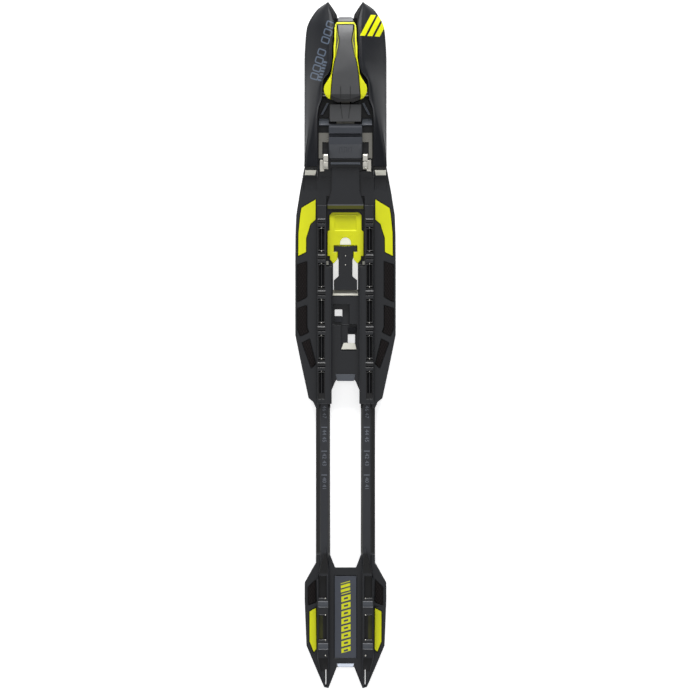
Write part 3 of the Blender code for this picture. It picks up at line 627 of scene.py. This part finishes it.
def make_housing_black(name):
    """Black moulding with a soft sheen and the printed blocks: grey on the left wing, lime bars on the right; the
    throat between the horns is darker, as painted shade in the valley, and rougher.
    """
    look = palette()
    material, tree, shader = finish(name)
    x, y, _ = tree.place(BAR_Y)
    slow = tree.noise(SLOW, 3)
    fine = tree.noise(sizes().grain, 3)
    base = tree.mottled(slow, look.black)

    turn = math.radians(73.2)
    forward, sideways = math.cos(turn), math.sin(turn)
    along = (x + 19.8) * forward + (y - 45.4) * sideways
    across = (x + 19.8) * -sideways + (y - 45.4) * forward
    height = sizes().print_height / MM
    second = along.over(19.6, 0.1)
    cell = (along - 2.2 - second * 2.5 - across * 0.12).repeated(4.62)
    u = abs(cell) - 0.78
    v = abs(across + height * 0.5 - 0.35) - height * 0.5 + 1.15
    du, dv = u.most(0), v.most(0)
    away = tree.add("ShaderNodeMath", {"operation": "SQRT"}, {0: du * du + dv * dv}).out()
    ring = away.within(0.42, 1.15, 0.18) * along.within(-0.1, 34.9) * (1 - along.within(18.4, 20.9))
    small = (abs((along - 0.4).repeated(1.75)).within(-1, 0.5, 0.12)) * (across + 6.7).within(0, 2.1)
    grey_print = ring.most(small * along.within(-0.5, 11.5))

    slant = x - (y - 69.2) * 0.5
    bar = abs((slant - 9.4).repeated(4.1)).within(-1, 1.42, 0.12)
    lime_print = bar * slant.within(7.4, 19.4) * y.within(69.2, 81.6)

    # Painted shade: in the throat between the horns the colour is mixed towards the gloss black, where the valley
    # lies in shade; the roughness is raised there too.
    throat = ((y - 74.0) * 0.21 + 6.3 - abs(x)).over(0, 0.4) * y.over(60, 8)
    base = tree.mix(throat * 0.8, base, look.gloss)
    printed = tree.mix(grey_print * 0.85, base, look.print_grey)
    tree.join(tree.mix(lime_print, printed, look.lime), shader.inputs["Base Color"])
    inked = grey_print.most(lime_print)
    gloss = look.black_roughness - 0.04 + slow * 0.08 + inked * 0.05
    tree.join(gloss + throat * 0.45, shader.inputs["Roughness"])
    tree.join(tree.bump(fine * 0.6 + inked * 0.4, 6e-6), shader.inputs["Normal"])
    shader.inputs["Specular IOR Level"].default_value = 0.16
    return material


class BINDING_OT_housing(bpy.types.Operator):
    """The horned housing, as one smooth skin over its ruling sections"""

    bl_idname = "binding.housing"
    bl_label = "Toe housing"

    def execute(self, context):
        look = ready("housing_black", make_housing_black)
        piece("toe_housing_fine", build_wings(), look, "base", "black_plastic", "toe_housing", sharp=40)
        return {"FINISHED"}


# ---------------------------------------------------------------- chassis and what lies on it


def make_chassis_black(name):
    """Black moulding of the deck: polished channels, and a fine dark line along each ridge and each row of pads."""
    look = palette()
    material, tree, shader = finish(name)
    x, y, z = tree.place(BAR_Y)
    half = abs(x)
    slow = tree.noise(SLOW, 3)
    fine = tree.noise(sizes().grain, 3)
    channel = half.within(11.2, 15.5) * z.within(10.0, 13.0)
    line = half.within(8.45, 8.75, 0.1) * y.within(-134, -58) * z.over(11)
    edge = half.within(15.9, 16.3, 0.2) * y.within(-134, -24)
    base = tree.mottled(slow, look.black)
    base = tree.mix(channel, base, look.gloss)
    tree.join(tree.mix((line + edge) * 0.7, base, shades(look.black, 0.35)), shader.inputs["Base Color"])
    tree.join(look.black_roughness - 0.04 + slow * 0.08 - channel * 0.18, shader.inputs["Roughness"])
    relief = fine * 0.12 + (1 - line) * 0.44 + (1 - edge) * 0.44
    tree.join(tree.bump(relief, 5e-5), shader.inputs["Normal"])
    shader.inputs["Specular IOR Level"].default_value = 0.36
    return material


def make_guide_black(name):
    """Black moulding whose rear lip carries a painted reflection of the lime slider below it, edged in front by a
    pale grey line that is a painted highlight.
    """
    look = palette()
    material, tree, shader = moulding(name, look.black, look.black_roughness, sizes().grain, 1e-5)
    _, y, _ = tree.place(BAR_Y)
    slow = tree.noise(SLOW, 3)
    plain = tree.mottled(slow, look.black, 0.8, 1.1)
    # Painted reflection: behind y = -24.9 mm the black is mixed towards a dim lime, the slider's reflection in the
    # lip.
    with_slider_reflection = tree.mix(1 - y.over(-24.9, 0.3), plain, shades(look.lime, 0.085))
    # Painted highlight: a pale grey line along the lip's lit front edge.
    tree.join(tree.mix(y.within(-24.9, -24.4, 0.2), with_slider_reflection, shades(look.grey, 2.2)), shader.inputs["Base Color"])
    return material


def deck_cuts():
    """A shallow dish on each shoulder of the deck."""
    shape = bmesh.new()
    for side in (-1, 1):
        add_barrel(shape, side * 19.6 * MM, BAR_Y - 13 * MM, DECK_TOP + 11.2 * MM, 3.6 * MM, 12 * MM, 12 * MM)
    tidy(shape)
    return shape


class BINDING_OT_chassis(bpy.types.Operator):
    """The chassis, the plates laid on it and in its windows, and the block that guides the slider"""

    bl_idname = "binding.chassis"
    bl_label = "Chassis"

    def execute(self, context):
        look = ready("chassis_black", make_chassis_black)
        rounded_node("chassis", look, "base", "black_plastic", cuts=deck_cuts())
        rounded_node("centre_block", ready("guide_black", make_guide_black), "base", "black_plastic")
        slopes = bmesh.new()
        add_ramp(slopes, (-6.1, -2.0, -86.4, 6.4), (-6.1, -2.0, -89.8, 8.5), THIN, BAR_Y)
        add_ramp(slopes, (1.4, 6.0, -92.6, 8.5), (1.4, 6.0, -96.0, 6.5), THIN, BAR_Y)
        rounded_piece("window_slopes", slopes, 0.1 * MM, matt_black(), "base", "black_plastic")
        # Painted reflection: pale plates on the window ramp, the pocket slope, two small patches and the shoulders,
        # where the deck only reflects the bright surroundings.
        steps = bmesh.new()
        add_ramp(steps, (-6.7, 6.7, -71.7, 5.6), (-7.3, 7.3, -75.0, 8.95), THIN, BAR_Y)
        add_ramp(steps, (-1.1, 5.2, -101.4, 6.5), (-2.4, 6.2, -105.0, 8.5), THIN, BAR_Y)
        for side in (-1, 1):
            near = sorted((side * 9.5, side * 11.3))
            add_ramp(steps, (*near, -55.9, 9.4), (*near, -58.0, 9.0), THICK, BAR_Y)
            front = (side * 16.2, side * 22.6, -5.3, 12.42)
            add_ramp(steps, front, (side * 16.9, side * 22.6, -8.0, 9.72), THIN, BAR_Y)
        rounded_piece("bright_steps", steps, 0.1 * MM, pale_reflection_plate(), "base", "steel")
        ledges = bmesh.new()
        for low, high in both_sides(15.8, 22.8):
            add_block(ledges, (low, BAR_Y - 5.5 * MM, 6.0 * MM), (high, BAR_Y - 1.5 * MM, 8.75 * MM))
        rounded_piece("shoulder_ledges", ledges, 0.1 * MM, gloss_black(), "base", "black_plastic")
        # Painted highlight: the sill is a dim blue-grey plate where a bevel catches the light.
        sill = bmesh.new()
        add_ramp(sill, (-5.5, 5.5, -118.9, 8.95), (-4.6, 4.6, -122.7, 8.75), THICK, BAR_Y)
        rounded_piece("deck_sill", sill, 0.12 * MM, blue_grey(0.6), "base", "black_plastic")
        # Painted highlight: a paler blue-grey lip along the floor's lit front edge.
        lip = bmesh.new()
        add_ramp(lip, (-8.2, 8.2, -0.8, 9.6), (-8.2, 8.2, -2.0, 9.4), THICK, BAR_Y)
        rounded_piece("floor_lip", lip, 0.12 * MM, blue_grey(1.5), "base", "black_plastic")
        return {"FINISHED"}


class BINDING_OT_well(bpy.types.Operator):
    """Rounded cross bars and struts in the well beside the cover plate, in blue grey as a painted highlight of the
    light on their rounded tops
    """

    bl_idname = "binding.well"
    bl_label = "Well struts"

    def execute(self, context):
        bars = bmesh.new()
        for side in (-1, 1):
            add_barrel(bars, side * 12.0 * MM, BAR_Y + 21.6 * MM, 12.3 * MM, 2.8 * MM, 2.0 * MM, 1.7 * MM)
            corners = [(9.2, 32.0, 14.6), (10.4, 32.0, 15.2), (13.9, 25.4, 13.4), (12.6, 25.4, 12.8)]
            add_slab(bars, [(side * x, y, z) for x, y, z in corners], 1.2, BAR_Y)
        # Painted highlight: blue grey for the light that the rounded bars and struts reflect.
        rounded_piece("well_struts", bars, 0.15 * MM, blue_grey(), "base", "black_plastic")
        return {"FINISHED"}


def row_tree(name):
    """Geometry nodes that repeat a shape along Y: how many, how far apart and with which finish."""
    group = bpy.data.node_groups.new(name, "GeometryNodeTree")
    wanted = (("Shape", "NodeSocketGeometry"), ("Count", "NodeSocketInt"), ("Pitch", "NodeSocketFloat"))
    for title, kind in (*wanted, ("Finish", "NodeSocketMaterial")):
        group.interface.new_socket(title, in_out="INPUT", socket_type=kind)
    group.interface.new_socket("Row", in_out="OUTPUT", socket_type="NodeSocketGeometry")
    tree = Tree(group)
    given = tree.add("NodeGroupInput")
    step = tree.add("ShaderNodeCombineXYZ", None, {1: given.out("Pitch")}).out()
    line = tree.add("GeometryNodeMeshLine", {"mode": "OFFSET"}, {"Count": given.out("Count"), "Offset": step})
    values = {"Points": line.out(), "Instance": given.out("Shape")}
    copies = tree.add("GeometryNodeInstanceOnPoints", None, values)
    real = tree.add("GeometryNodeRealizeInstances", None, {0: copies.out()})
    coloured = tree.add("GeometryNodeSetMaterial", None, {0: real.out(), "Material": given.out("Finish")})
    tree.add("NodeGroupOutput", None, {0: coloured.out()})
    return group


def row_of(name, shape, count, pitch, material):
    """The mesh of a shape repeated along Y."""
    group = bpy.data.node_groups.get("row_along_y") or row_tree("row_along_y")
    obj = helper(name, mesh_of(shape, name))
    modifier = obj.modifiers.new("row", "NODES")
    modifier.node_group = group
    given = {"Count": count, "Pitch": pitch, "Finish": material}
    for item in group.interface.items_tree:
        if item.in_out == "INPUT" and item.name in given:
            modifier[item.identifier] = given[item.name]
    return baked(obj, name)


class BINDING_OT_bridges(bpy.types.Operator):
    """Barrel bridges, channel beads and rivet dots along the two ridges"""

    bl_idname = "binding.bridges"
    bl_label = "Ridge bridges"

    def execute(self, context):
        pitch = -sizes().bridge_pitch
        first = BAR_Y - 33.8 * MM
        floor = RIDGE_TOP - 2.9 * MM
        bridges = bmesh.new()
        dots = bmesh.new()
        rods = bmesh.new()
        for side in (-1, 1):
            x = side * CHANNEL_X
            add_barrel(bridges, x, first, floor + 1.5 * MM, 2.1 * MM, 2.2 * MM, 1.9 * MM)
            for shift in (-3.7, 3.7):
                add_barrel(bridges, x, first + shift * MM, floor, 1.7 * MM, 0.7 * MM, 1.5 * MM)
            for shift in (-3.4, 3.4):
                add_dot(dots, x, first + shift * MM, floor + 1.7 * MM, 0.42 * MM)
            add_rod(rods, x, first - 4.4 * MM, floor + 0.2 * MM, 1.25 * MM, 1.3 * MM, 11.2 * MM)
        for vertex in [*bridges.verts, *rods.verts]:
            vertex.co.z = max(vertex.co.z, floor - 0.6 * MM)
        mesh = row_of("channel_rods", rods, BRIDGES, pitch, gloss_black())
        piece("channel_rods", mesh, gloss_black(), "base", "black_plastic", sharp=50)
        mesh = row_of("ridge_bridges", bridges, BRIDGES, pitch, gloss_black())
        piece("ridge_bridges", mesh, gloss_black(), "base", "black_plastic", sharp=50)
        mesh = row_of("ridge_dots", dots, BRIDGES, pitch, steel())
        piece("ridge_dots", mesh, steel(), "base", "steel", sharp=60)
        return {"FINISHED"}


class BINDING_OT_trims(bpy.types.Operator):
    """Grip pads and lime inlays of the deck"""

    bl_idname = "binding.trims"
    bl_label = "Pads and inlays"

    def execute(self, context):
        for side in ("left", "right"):
            for place in ("front", "middle", "rear"):
                rounded_node(f"pad_{place}_{side}", grip_rubber(), "base", "rubber")
            rounded_node(f"deck_inlay_{side}", lime(), "base", "lime_plastic")
        return {"FINISHED"}


# ---------------------------------------------------------------- lever, jaw, flexor and lock


def make_lever_grey(name):
    """Grey moulding: a nose painted paler, a painted highlight where it slopes down to the light, a thin lime line at
    the waist, a dark hub and two narrow grooves to the rear edge.
    """
    look = palette()
    material, tree, shader = finish(name)
    x, y, _ = tree.place(BAR_Y)
    half = abs(x)
    slow = tree.noise(0.014, 3)
    fine = tree.noise(sizes().grain, 3)
    groove = half.within(2.45, 2.95, 0.2) * (1 - y.over(40.6, 1.2)) * y.over(28.5)
    toward = half - 1.8 - (y - 23.5) * 0.11
    plate_groove = abs(toward).within(-1, 0.2, 0.15) * (1 - y.over(31.0)) * y.over(23.0)
    cut = groove.most(plate_groove)
    plain = tree.mottled(slow, look.grey, 0.85, 1.15)
    # Painted highlight: ahead of y = 78 mm the nose is painted paler where it slopes down to the light.
    with_lit_nose = tree.mix(y.over(78.0, 0.6), plain, shades(look.grey, 2.4))
    waist = half - 3.95 - abs(y - 66.7) * 0.175
    waist_line = abs(waist).within(-1, 0.26, 0.12) * y.within(56.5, 76.2)
    with_lit_nose = tree.mix(waist_line, with_lit_nose, shades(look.lime, 0.8))
    hub = y.within(31.6, 36.3, 0.4)
    arc = hub * (33.6 + x * x * 0.033 - y).over(0, 0.4)
    with_lit_nose = tree.mix(arc.most(hub * 0.5), with_lit_nose, look.gloss)
    tree.join(tree.mix(cut * 0.8, with_lit_nose, shades(look.grey, 0.2)), shader.inputs["Base Color"])
    tree.join(0.36 + slow * 0.08 + hub * 0.4, shader.inputs["Roughness"])
    tree.join(tree.bump((1 - cut) * 0.9 + fine * 0.1, 6e-5), shader.inputs["Normal"])
    return material


def make_flexor_black(name):
    """Hard rubber with three short ribs moulded on the rear slope."""
    look = palette()
    material, tree, shader = moulding(name, look.flexor, 0.6, sizes().grain, 6e-6, 0.3)
    x, y, _ = tree.place(BAR_Y)
    rib = abs(x.repeated(2.6)).within(-1, 0.75, 0.2) * x.within(-3.9, 3.9) * y.within(4.6, 7.2)
    tree.join(tree.bump(rib + tree.noise(sizes().grain, 3) * 0.03, 1.6e-4), shader.inputs["Normal"])
    return material


class BINDING_OT_lever(bpy.types.Operator):
    """Lever with its lime trim, pins and link, and the cover plate behind it"""

    bl_idname = "binding.lever"
    bl_label = "Lever"

    def execute(self, context):
        look = ready("lever_grey", make_lever_grey)
        rounded_node("lever_body", look, "lever", "grey_plastic", 0.4 * MM)
        rounded_node("lever_trim", lime(), "lever", "lime_plastic", 0.3 * MM)
        rounded_node("cover_plate", look, "base", "grey_plastic", 0.35 * MM)
        dark = ready("burnished_steel", make_steel, 0.1)
        rounded_node("lever_pin", dark, "base", "steel", 0.15 * MM, 60)
        rounded_node("crank_pin", dark, "lever", "steel", 0.1 * MM, 60)
        rounded_node("toggle_link", dark, "link", "steel", 0.15 * MM, 60)
        return {"FINISHED"}


class BINDING_OT_jaw(bpy.types.Operator):
    """Steel jaw plate, its hooks and the fixed hooks behind the bar"""

    bl_idname = "binding.jaw"
    bl_label = "Jaw and hooks"

    def execute(self, context):
        width = sizes().steel_round
        dull = ready("dull_steel", make_steel, 0.3)
        rounded_node("jaw_plate", dull, "jaw", "steel", width)
        rounded_node("jaw_pin", dull, "jaw", "steel", 0.1 * MM, 60)
        for side in ("left", "right"):
            rounded_node(f"jaw_hook_{side}", steel(), "jaw", "steel", width)
            rounded_node(f"fixed_hook_{side}", steel(), "base", "steel", width)
        return {"FINISHED"}


class BINDING_OT_flexor(bpy.types.Operator):
    """Hard rubber flexor in front of the bar"""

    bl_idname = "binding.flexor"
    bl_label = "Flexor"

    def execute(self, context):
        look = ready("flexor_black", make_flexor_black)
        rounded_node("flexor", look, "base", "flexor_rubber", 0.5 * MM, 20)
        return {"FINISHED"}


class BINDING_OT_lock(bpy.types.Operator):
    """Lime slider, its springy tongue and the toothed key, with the plate below the slider and two rivets"""

    bl_idname = "binding.lock"
    bl_label = "Lock"

    def execute(self, context):
        rounded_node("lock_slider", lime(), "lock", "lime_plastic")
        rounded_node("lock_tongue", black(), "lock", "black_plastic")
        rounded_node("lock_key", steel(), "lock", "steel", 0.12 * MM)
        under = bmesh.new()
        add_block(under, (-7.2 * MM, BAR_Y - 50.6 * MM, 6.22 * MM), (7.2 * MM, BAR_Y - 46.6 * MM, 6.42 * MM))
        for low, high in both_sides(3.7, 5.0):
            add_block(under, (low, BAR_Y - 54.0 * MM, 6.22 * MM), (high, BAR_Y - 50.4 * MM, 6.42 * MM))
        piece("slider_under", mesh_of(under, "slider_under"), lime(), "lock", "lime_plastic")
        dots = bmesh.new()
        for y in (-52.8, -57.9):
            add_dot(dots, 0, BAR_Y + y * MM, 8.72 * MM, 0.4 * MM)
        piece("tongue_dots", mesh_of(dots, "tongue_dots"), steel(), "lock", "steel", sharp=60)
        return {"FINISHED"}


# ---------------------------------------------------------------- heel plate and rails


def make_label(name):
    """Blue-grey plate with a row of lime slanted blocks."""
    look = palette()
    material, tree, shader = finish(name)
    x, y, _ = tree.place(HEEL_Y)
    slow = tree.noise(0.01, 3)
    slant = y - (x - 0.2) * 0.28
    block = abs((slant - 21.3).repeated(4.15)).within(-1, 1.55, 0.15)
    hollow = abs((slant - 21.3).repeated(4.15)).within(-1, 0.55, 0.15) * x.within(-0.9, 1.4)
    row = block * (1 - hollow) * slant.within(20.4, 53.4) * x.within(-2.3, 2.8)
    sign = abs((slant - 55.0).repeated(2.4)).within(-1, 0.8, 0.15) * slant.within(54.2, 59.4) * x.within(-2.6, 2.6)
    printed = row.most(sign)
    plate = tree.mottled(slow, look.label, 0.9, 1.1)
    tree.join(tree.mix(printed, plate, look.lime), shader.inputs["Base Color"])
    tree.join(0.42 + slow * 0.08, shader.inputs["Roughness"])
    tree.join(tree.bump(printed * 0.5 + tree.noise(0.0003, 2) * 0.3, 2e-5), shader.inputs["Normal"])
    return material


def make_heel_black(name):
    """Black moulding: rails painted darker along their flanks as painted shade and paler on top as a painted
    highlight, low pockets darker as painted shade, and a dim lime near the inlays as their painted reflection.
    """
    look = palette()
    material, tree, shader = moulding(name, look.black, look.black_roughness, sizes().grain, 1e-5)
    x, y, z = tree.place(HEEL_Y)
    half = abs(x)
    slow = tree.noise(SLOW, 3)
    rail = y.over(75.5, 1.5)
    # Painted shade on the rails' flanks; the next mask paints a highlight on their tops.
    flank = rail * half.over(13.9, 0.2).most(1 - half.over(9.6, 0.2))
    top = rail * half.within(9.8, 13.8, 0.2)
    plain = tree.mottled(slow, look.black)
    lit_rail_top = tree.mix(top, plain, shades(look.black, 1.9))
    low = 1 - z.over(12.6, 0.2)
    # Painted shade in the low pockets.
    pocket = half.within(9.8, 15.2) * (1 - rail) * low * z.over(10.0)
    # Painted reflection: a dim lime in the pockets beside the lime inlays.
    glow = half.within(12.6, 15.6, 0.8) * y.within(27.2, 43.5, 0.5) * low
    dark = tree.mix(flank.most(pocket), lit_rail_top, shades(look.gloss, 0.5))
    tree.join(tree.mix(glow, dark, shades(look.lime, 0.07)), shader.inputs["Base Color"])
    tree.join(look.black_roughness + slow * 0.08 + flank * 0.3, shader.inputs["Roughness"])
    return material


class BINDING_OT_heel(bpy.types.Operator):
    """Heel plate with its rails, pads, inlays, label, sill and bridges"""

    bl_idname = "binding.heel"
    bl_label = "Heel plate"

    def execute(self, context):
        cuts = bmesh.new()
        add_prism(cuts, [(14.1, 8.05), (10.5, 4.9), (10.5, 9.0), (14.1, 9.0)], (-5.0, 5.0), HEEL_Y)
        for low, high in both_sides(10.75, 11.15):
            add_block(cuts, (low, HEEL_Y + 1.9 * MM, -1 * MM), (high, HEEL_Y + 10.8 * MM, 15 * MM))
        tidy(cuts)
        look = ready("heel_black", make_heel_black)
        rounded_node("heel_frame", look, "heel", "black_plastic", 0.3 * MM, cuts=cuts)
        rounded_node("heel_label", ready("label_plate", make_label), "heel", "label_plastic", 0.1 * MM)
        for side in ("left", "right"):
            rounded_node(f"heel_pad_{side}", grip_rubber(), "heel", "rubber")
            rounded_node(f"heel_inlay_{side}", lime(), "heel", "lime_plastic")
        bridges = bmesh.new()
        dots = bmesh.new()
        top = RIDGE_TOP
        for side in (-1, 1):
            for y in (50.3, 41.7, 27.1, 18.9, 48.2, 24.8):
                add_barrel(bridges, side * 12.7 * MM, HEEL_Y + y * MM, top - 2.2 * MM, 2.0 * MM, 0.9 * MM, 1.6 * MM)
            for y in (50.6, 41.4, 27.4, 18.8):
                add_dot(dots, side * 11.15 * MM, HEEL_Y + y * MM, top - 0.1 * MM, 0.42 * MM)
        curved = bmesh.new()
        for side in (-1, 1):
            for y in (47.3, 23.9):
                add_barrel(curved, side * 12.4 * MM, HEEL_Y + y * MM, top - 0.3 * MM, 2.8 * MM, 1.9 * MM, 0.8 * MM)
        # Painted highlight: the sill is a pale blue-grey plate in the bevel at the heel's rear, where the bevel
        # reflects the light.
        sill = bmesh.new()
        add_ramp(sill, (-4.8, 4.8, 13.9, 8.0), (-4.1, 4.1, 11.9, 6.2), 0.2, HEEL_Y)
        rounded_piece("heel_sill", sill, 0.05 * MM, blue_grey(3.6), "heel", "black_plastic")
        # Painted highlight: the cross bars are blue grey for the light on their curved tops.
        rounded_piece("heel_cross_bars", curved, 0.12 * MM, blue_grey(0.4), "heel", "black_plastic")
        tidy(bridges)
        piece("heel_bridges", mesh_of(bridges, "heel_bridges"), gloss_black(), "heel", "black_plastic", sharp=50)
        piece("heel_dots", mesh_of(dots, "heel_dots"), steel(), "heel", "steel", sharp=60)
        return {"FINISHED"}


def number_mesh(text, x, y, z, height, turn):
    """Raised figures that read along the rail, as a mesh."""
    curve = bpy.data.curves.new(text, "FONT")
    curve.body = text
    curve.size = height
    curve.align_x = "CENTER"
    curve.align_y = "CENTER"
    curve.extrude = 0.06 * MM
    curve.resolution_u = 3
    obj = helper(text, curve)
    mesh = baked(obj, text)
    mesh.transform(Matrix.Translation((x, y, z)) @ Matrix.Rotation(turn, 4, "Z"))
    return mesh


class BINDING_OT_scale(bpy.types.Operator):
    """Size figures and marks on the rails"""

    bl_idname = "binding.scale"
    bl_label = "Rail scale"

    def execute(self, context):
        figures = bmesh.new()
        pitch = sizes().tick_pitch
        for side in (-1, 1):
            for i, text in enumerate(("46 47", "44 45", "42 43", "40 41")):
                y = BAR_Y - 139.9 * MM - i * pitch
                figures.from_mesh(number_mesh(text, side * RAIL_X, y, RAIL_TOP, 3.1 * MM, -math.pi / 2))
        mesh = mesh_of(figures, "rail_figures")
        piece("rail_figures", mesh, blue_grey(), "heel", "black_plastic", sharp=40)
        ticks = bmesh.new()
        start = BAR_Y - 148.4 * MM
        for side in (-1, 1):
            low = (side * RAIL_X - 1.6 * MM, start - 0.25 * MM, RAIL_TOP - 0.1 * MM)
            high = (side * RAIL_X + 1.6 * MM, start + 0.25 * MM, RAIL_TOP + 0.1 * MM)
            add_block(ticks, low, high)
        mesh = row_of("rail_marks", ticks, 3, -pitch, blue_grey())
        piece("rail_marks", mesh, blue_grey(), "heel", "black_plastic", sharp=40)
        return {"FINISHED"}


# ---------------------------------------------------------------- studio


def softbox(name, place, size, power):
    """A rectangular light that faces the middle of the binding."""
    light = bpy.data.lights.new(name, "AREA")
    light.shape = "RECTANGLE"
    light.size, light.size_y = size
    light.energy = power
    obj = bpy.data.objects.new(name, light)
    bpy.context.scene.collection.objects.link(obj)
    obj.location = place
    obj.rotation_euler = (-Vector(place)).to_track_quat("-Z", "Y").to_euler()


class BINDING_OT_stage(bpy.types.Operator):
    """Pale floor, soft studio light and the camera straight above"""

    bl_idname = "binding.stage"
    bl_label = "Studio"

    def execute(self, context):
        scene = context.scene
        floor = bmesh.new()
        bmesh.ops.create_grid(floor, x_segments=2, y_segments=2, size=2.5, matrix=Matrix.Translation((0, 0, -0.0005)))
        obj = helper("floor", mesh_of(floor, "floor"))
        material, tree, shader = finish("floor_white")
        x, y, _ = tree.place()
        far = tree.add("ShaderNodeMath", {"operation": "SQRT"}, {0: x * x + y * y}).out()
        glow = tree.mix(far.over(500, 500), (1, 1, 1), (0.16, 0.16, 0.16))
        tree.join(glow, shader.inputs["Emission Color"])
        shader.inputs["Base Color"].default_value = (0.88, 0.88, 0.88, 1)
        shader.inputs["Roughness"].default_value = 0.8
        shader.inputs["Emission Strength"].default_value = 0.64
        obj.data.materials.append(material)
        world = bpy.data.worlds.new("studio")
        scene.world = world
        world.use_nodes = True
        world.node_tree.nodes["Background"].inputs["Color"].default_value = (0.9, 0.95, 1, 1)
        world.node_tree.nodes["Background"].inputs["Strength"].default_value = 0.12
        softbox("light_left", (-1.5, 0.1, 0.4), (1.6, 0.5), 5)
        softbox("light_right", (1.5, 0.1, 0.4), (1.6, 0.5), 0.8)
        softbox("light_front", (0, 1.5, 0.7), (1.2, 0.45), 31)
        softbox("light_rear", (0, -1.5, 0.35), (1.2, 0.4), 17)
        softbox("light_top", (0, 0, 2.6), (2.2, 2.2), 12.5)
        camera = bpy.data.cameras.new("camera")
        camera.lens = sizes().lens
        camera.sensor_width = SENSOR
        camera.clip_end = 20
        eye = bpy.data.objects.new("camera", camera)
        scene.collection.objects.link(eye)
        view_height = CAD_BOX[1][1] - CAD_BOX[0][1] + VIEW_MARGIN
        eye.location = (0, 0, view_height * camera.lens / SENSOR + RIDGE_TOP)
        scene.camera = eye
        scene.view_settings.view_transform = "Standard"
        return {"FINISHED"}


# ---------------------------------------------------------------- add-on


STEPS = (
    BINDING_OT_housing,
    BINDING_OT_chassis,
    BINDING_OT_well,
    BINDING_OT_bridges,
    BINDING_OT_trims,
    BINDING_OT_lever,
    BINDING_OT_jaw,
    BINDING_OT_flexor,
    BINDING_OT_lock,
    BINDING_OT_heel,
    BINDING_OT_scale,
    BINDING_OT_stage,
)


class BINDING_PT_panel(bpy.types.Panel):
    bl_idname = "BINDING_PT_panel"
    bl_label = "Binding"
    bl_space_type = "VIEW_3D"
    bl_region_type = "UI"
    bl_category = "Binding"

    def draw(self, context):
        column = self.layout.column()
        for step in STEPS:
            column.operator(step.bl_idname)
        for group in (context.scene.binding_sizes, context.scene.binding_colours):
            for name in type(group).__annotations__:
                column.prop(group, name)


CLASSES = (BindingSizes, BindingColours, *STEPS, BINDING_PT_panel)


def register():
    for cls in CLASSES:
        bpy.utils.register_class(cls)
    bpy.types.Scene.binding_sizes = bpy.props.PointerProperty(type=BindingSizes)
    bpy.types.Scene.binding_colours = bpy.props.PointerProperty(type=BindingColours)


def unregister():
    del bpy.types.Scene.binding_colours
    del bpy.types.Scene.binding_sizes
    for cls in reversed(CLASSES):
        bpy.utils.unregister_class(cls)


def main():
    register()
    for step in STEPS:
        family, _, name = step.bl_idname.partition(".")
        getattr(getattr(bpy.ops, family), name)()


if __name__ == "__main__":
    main()
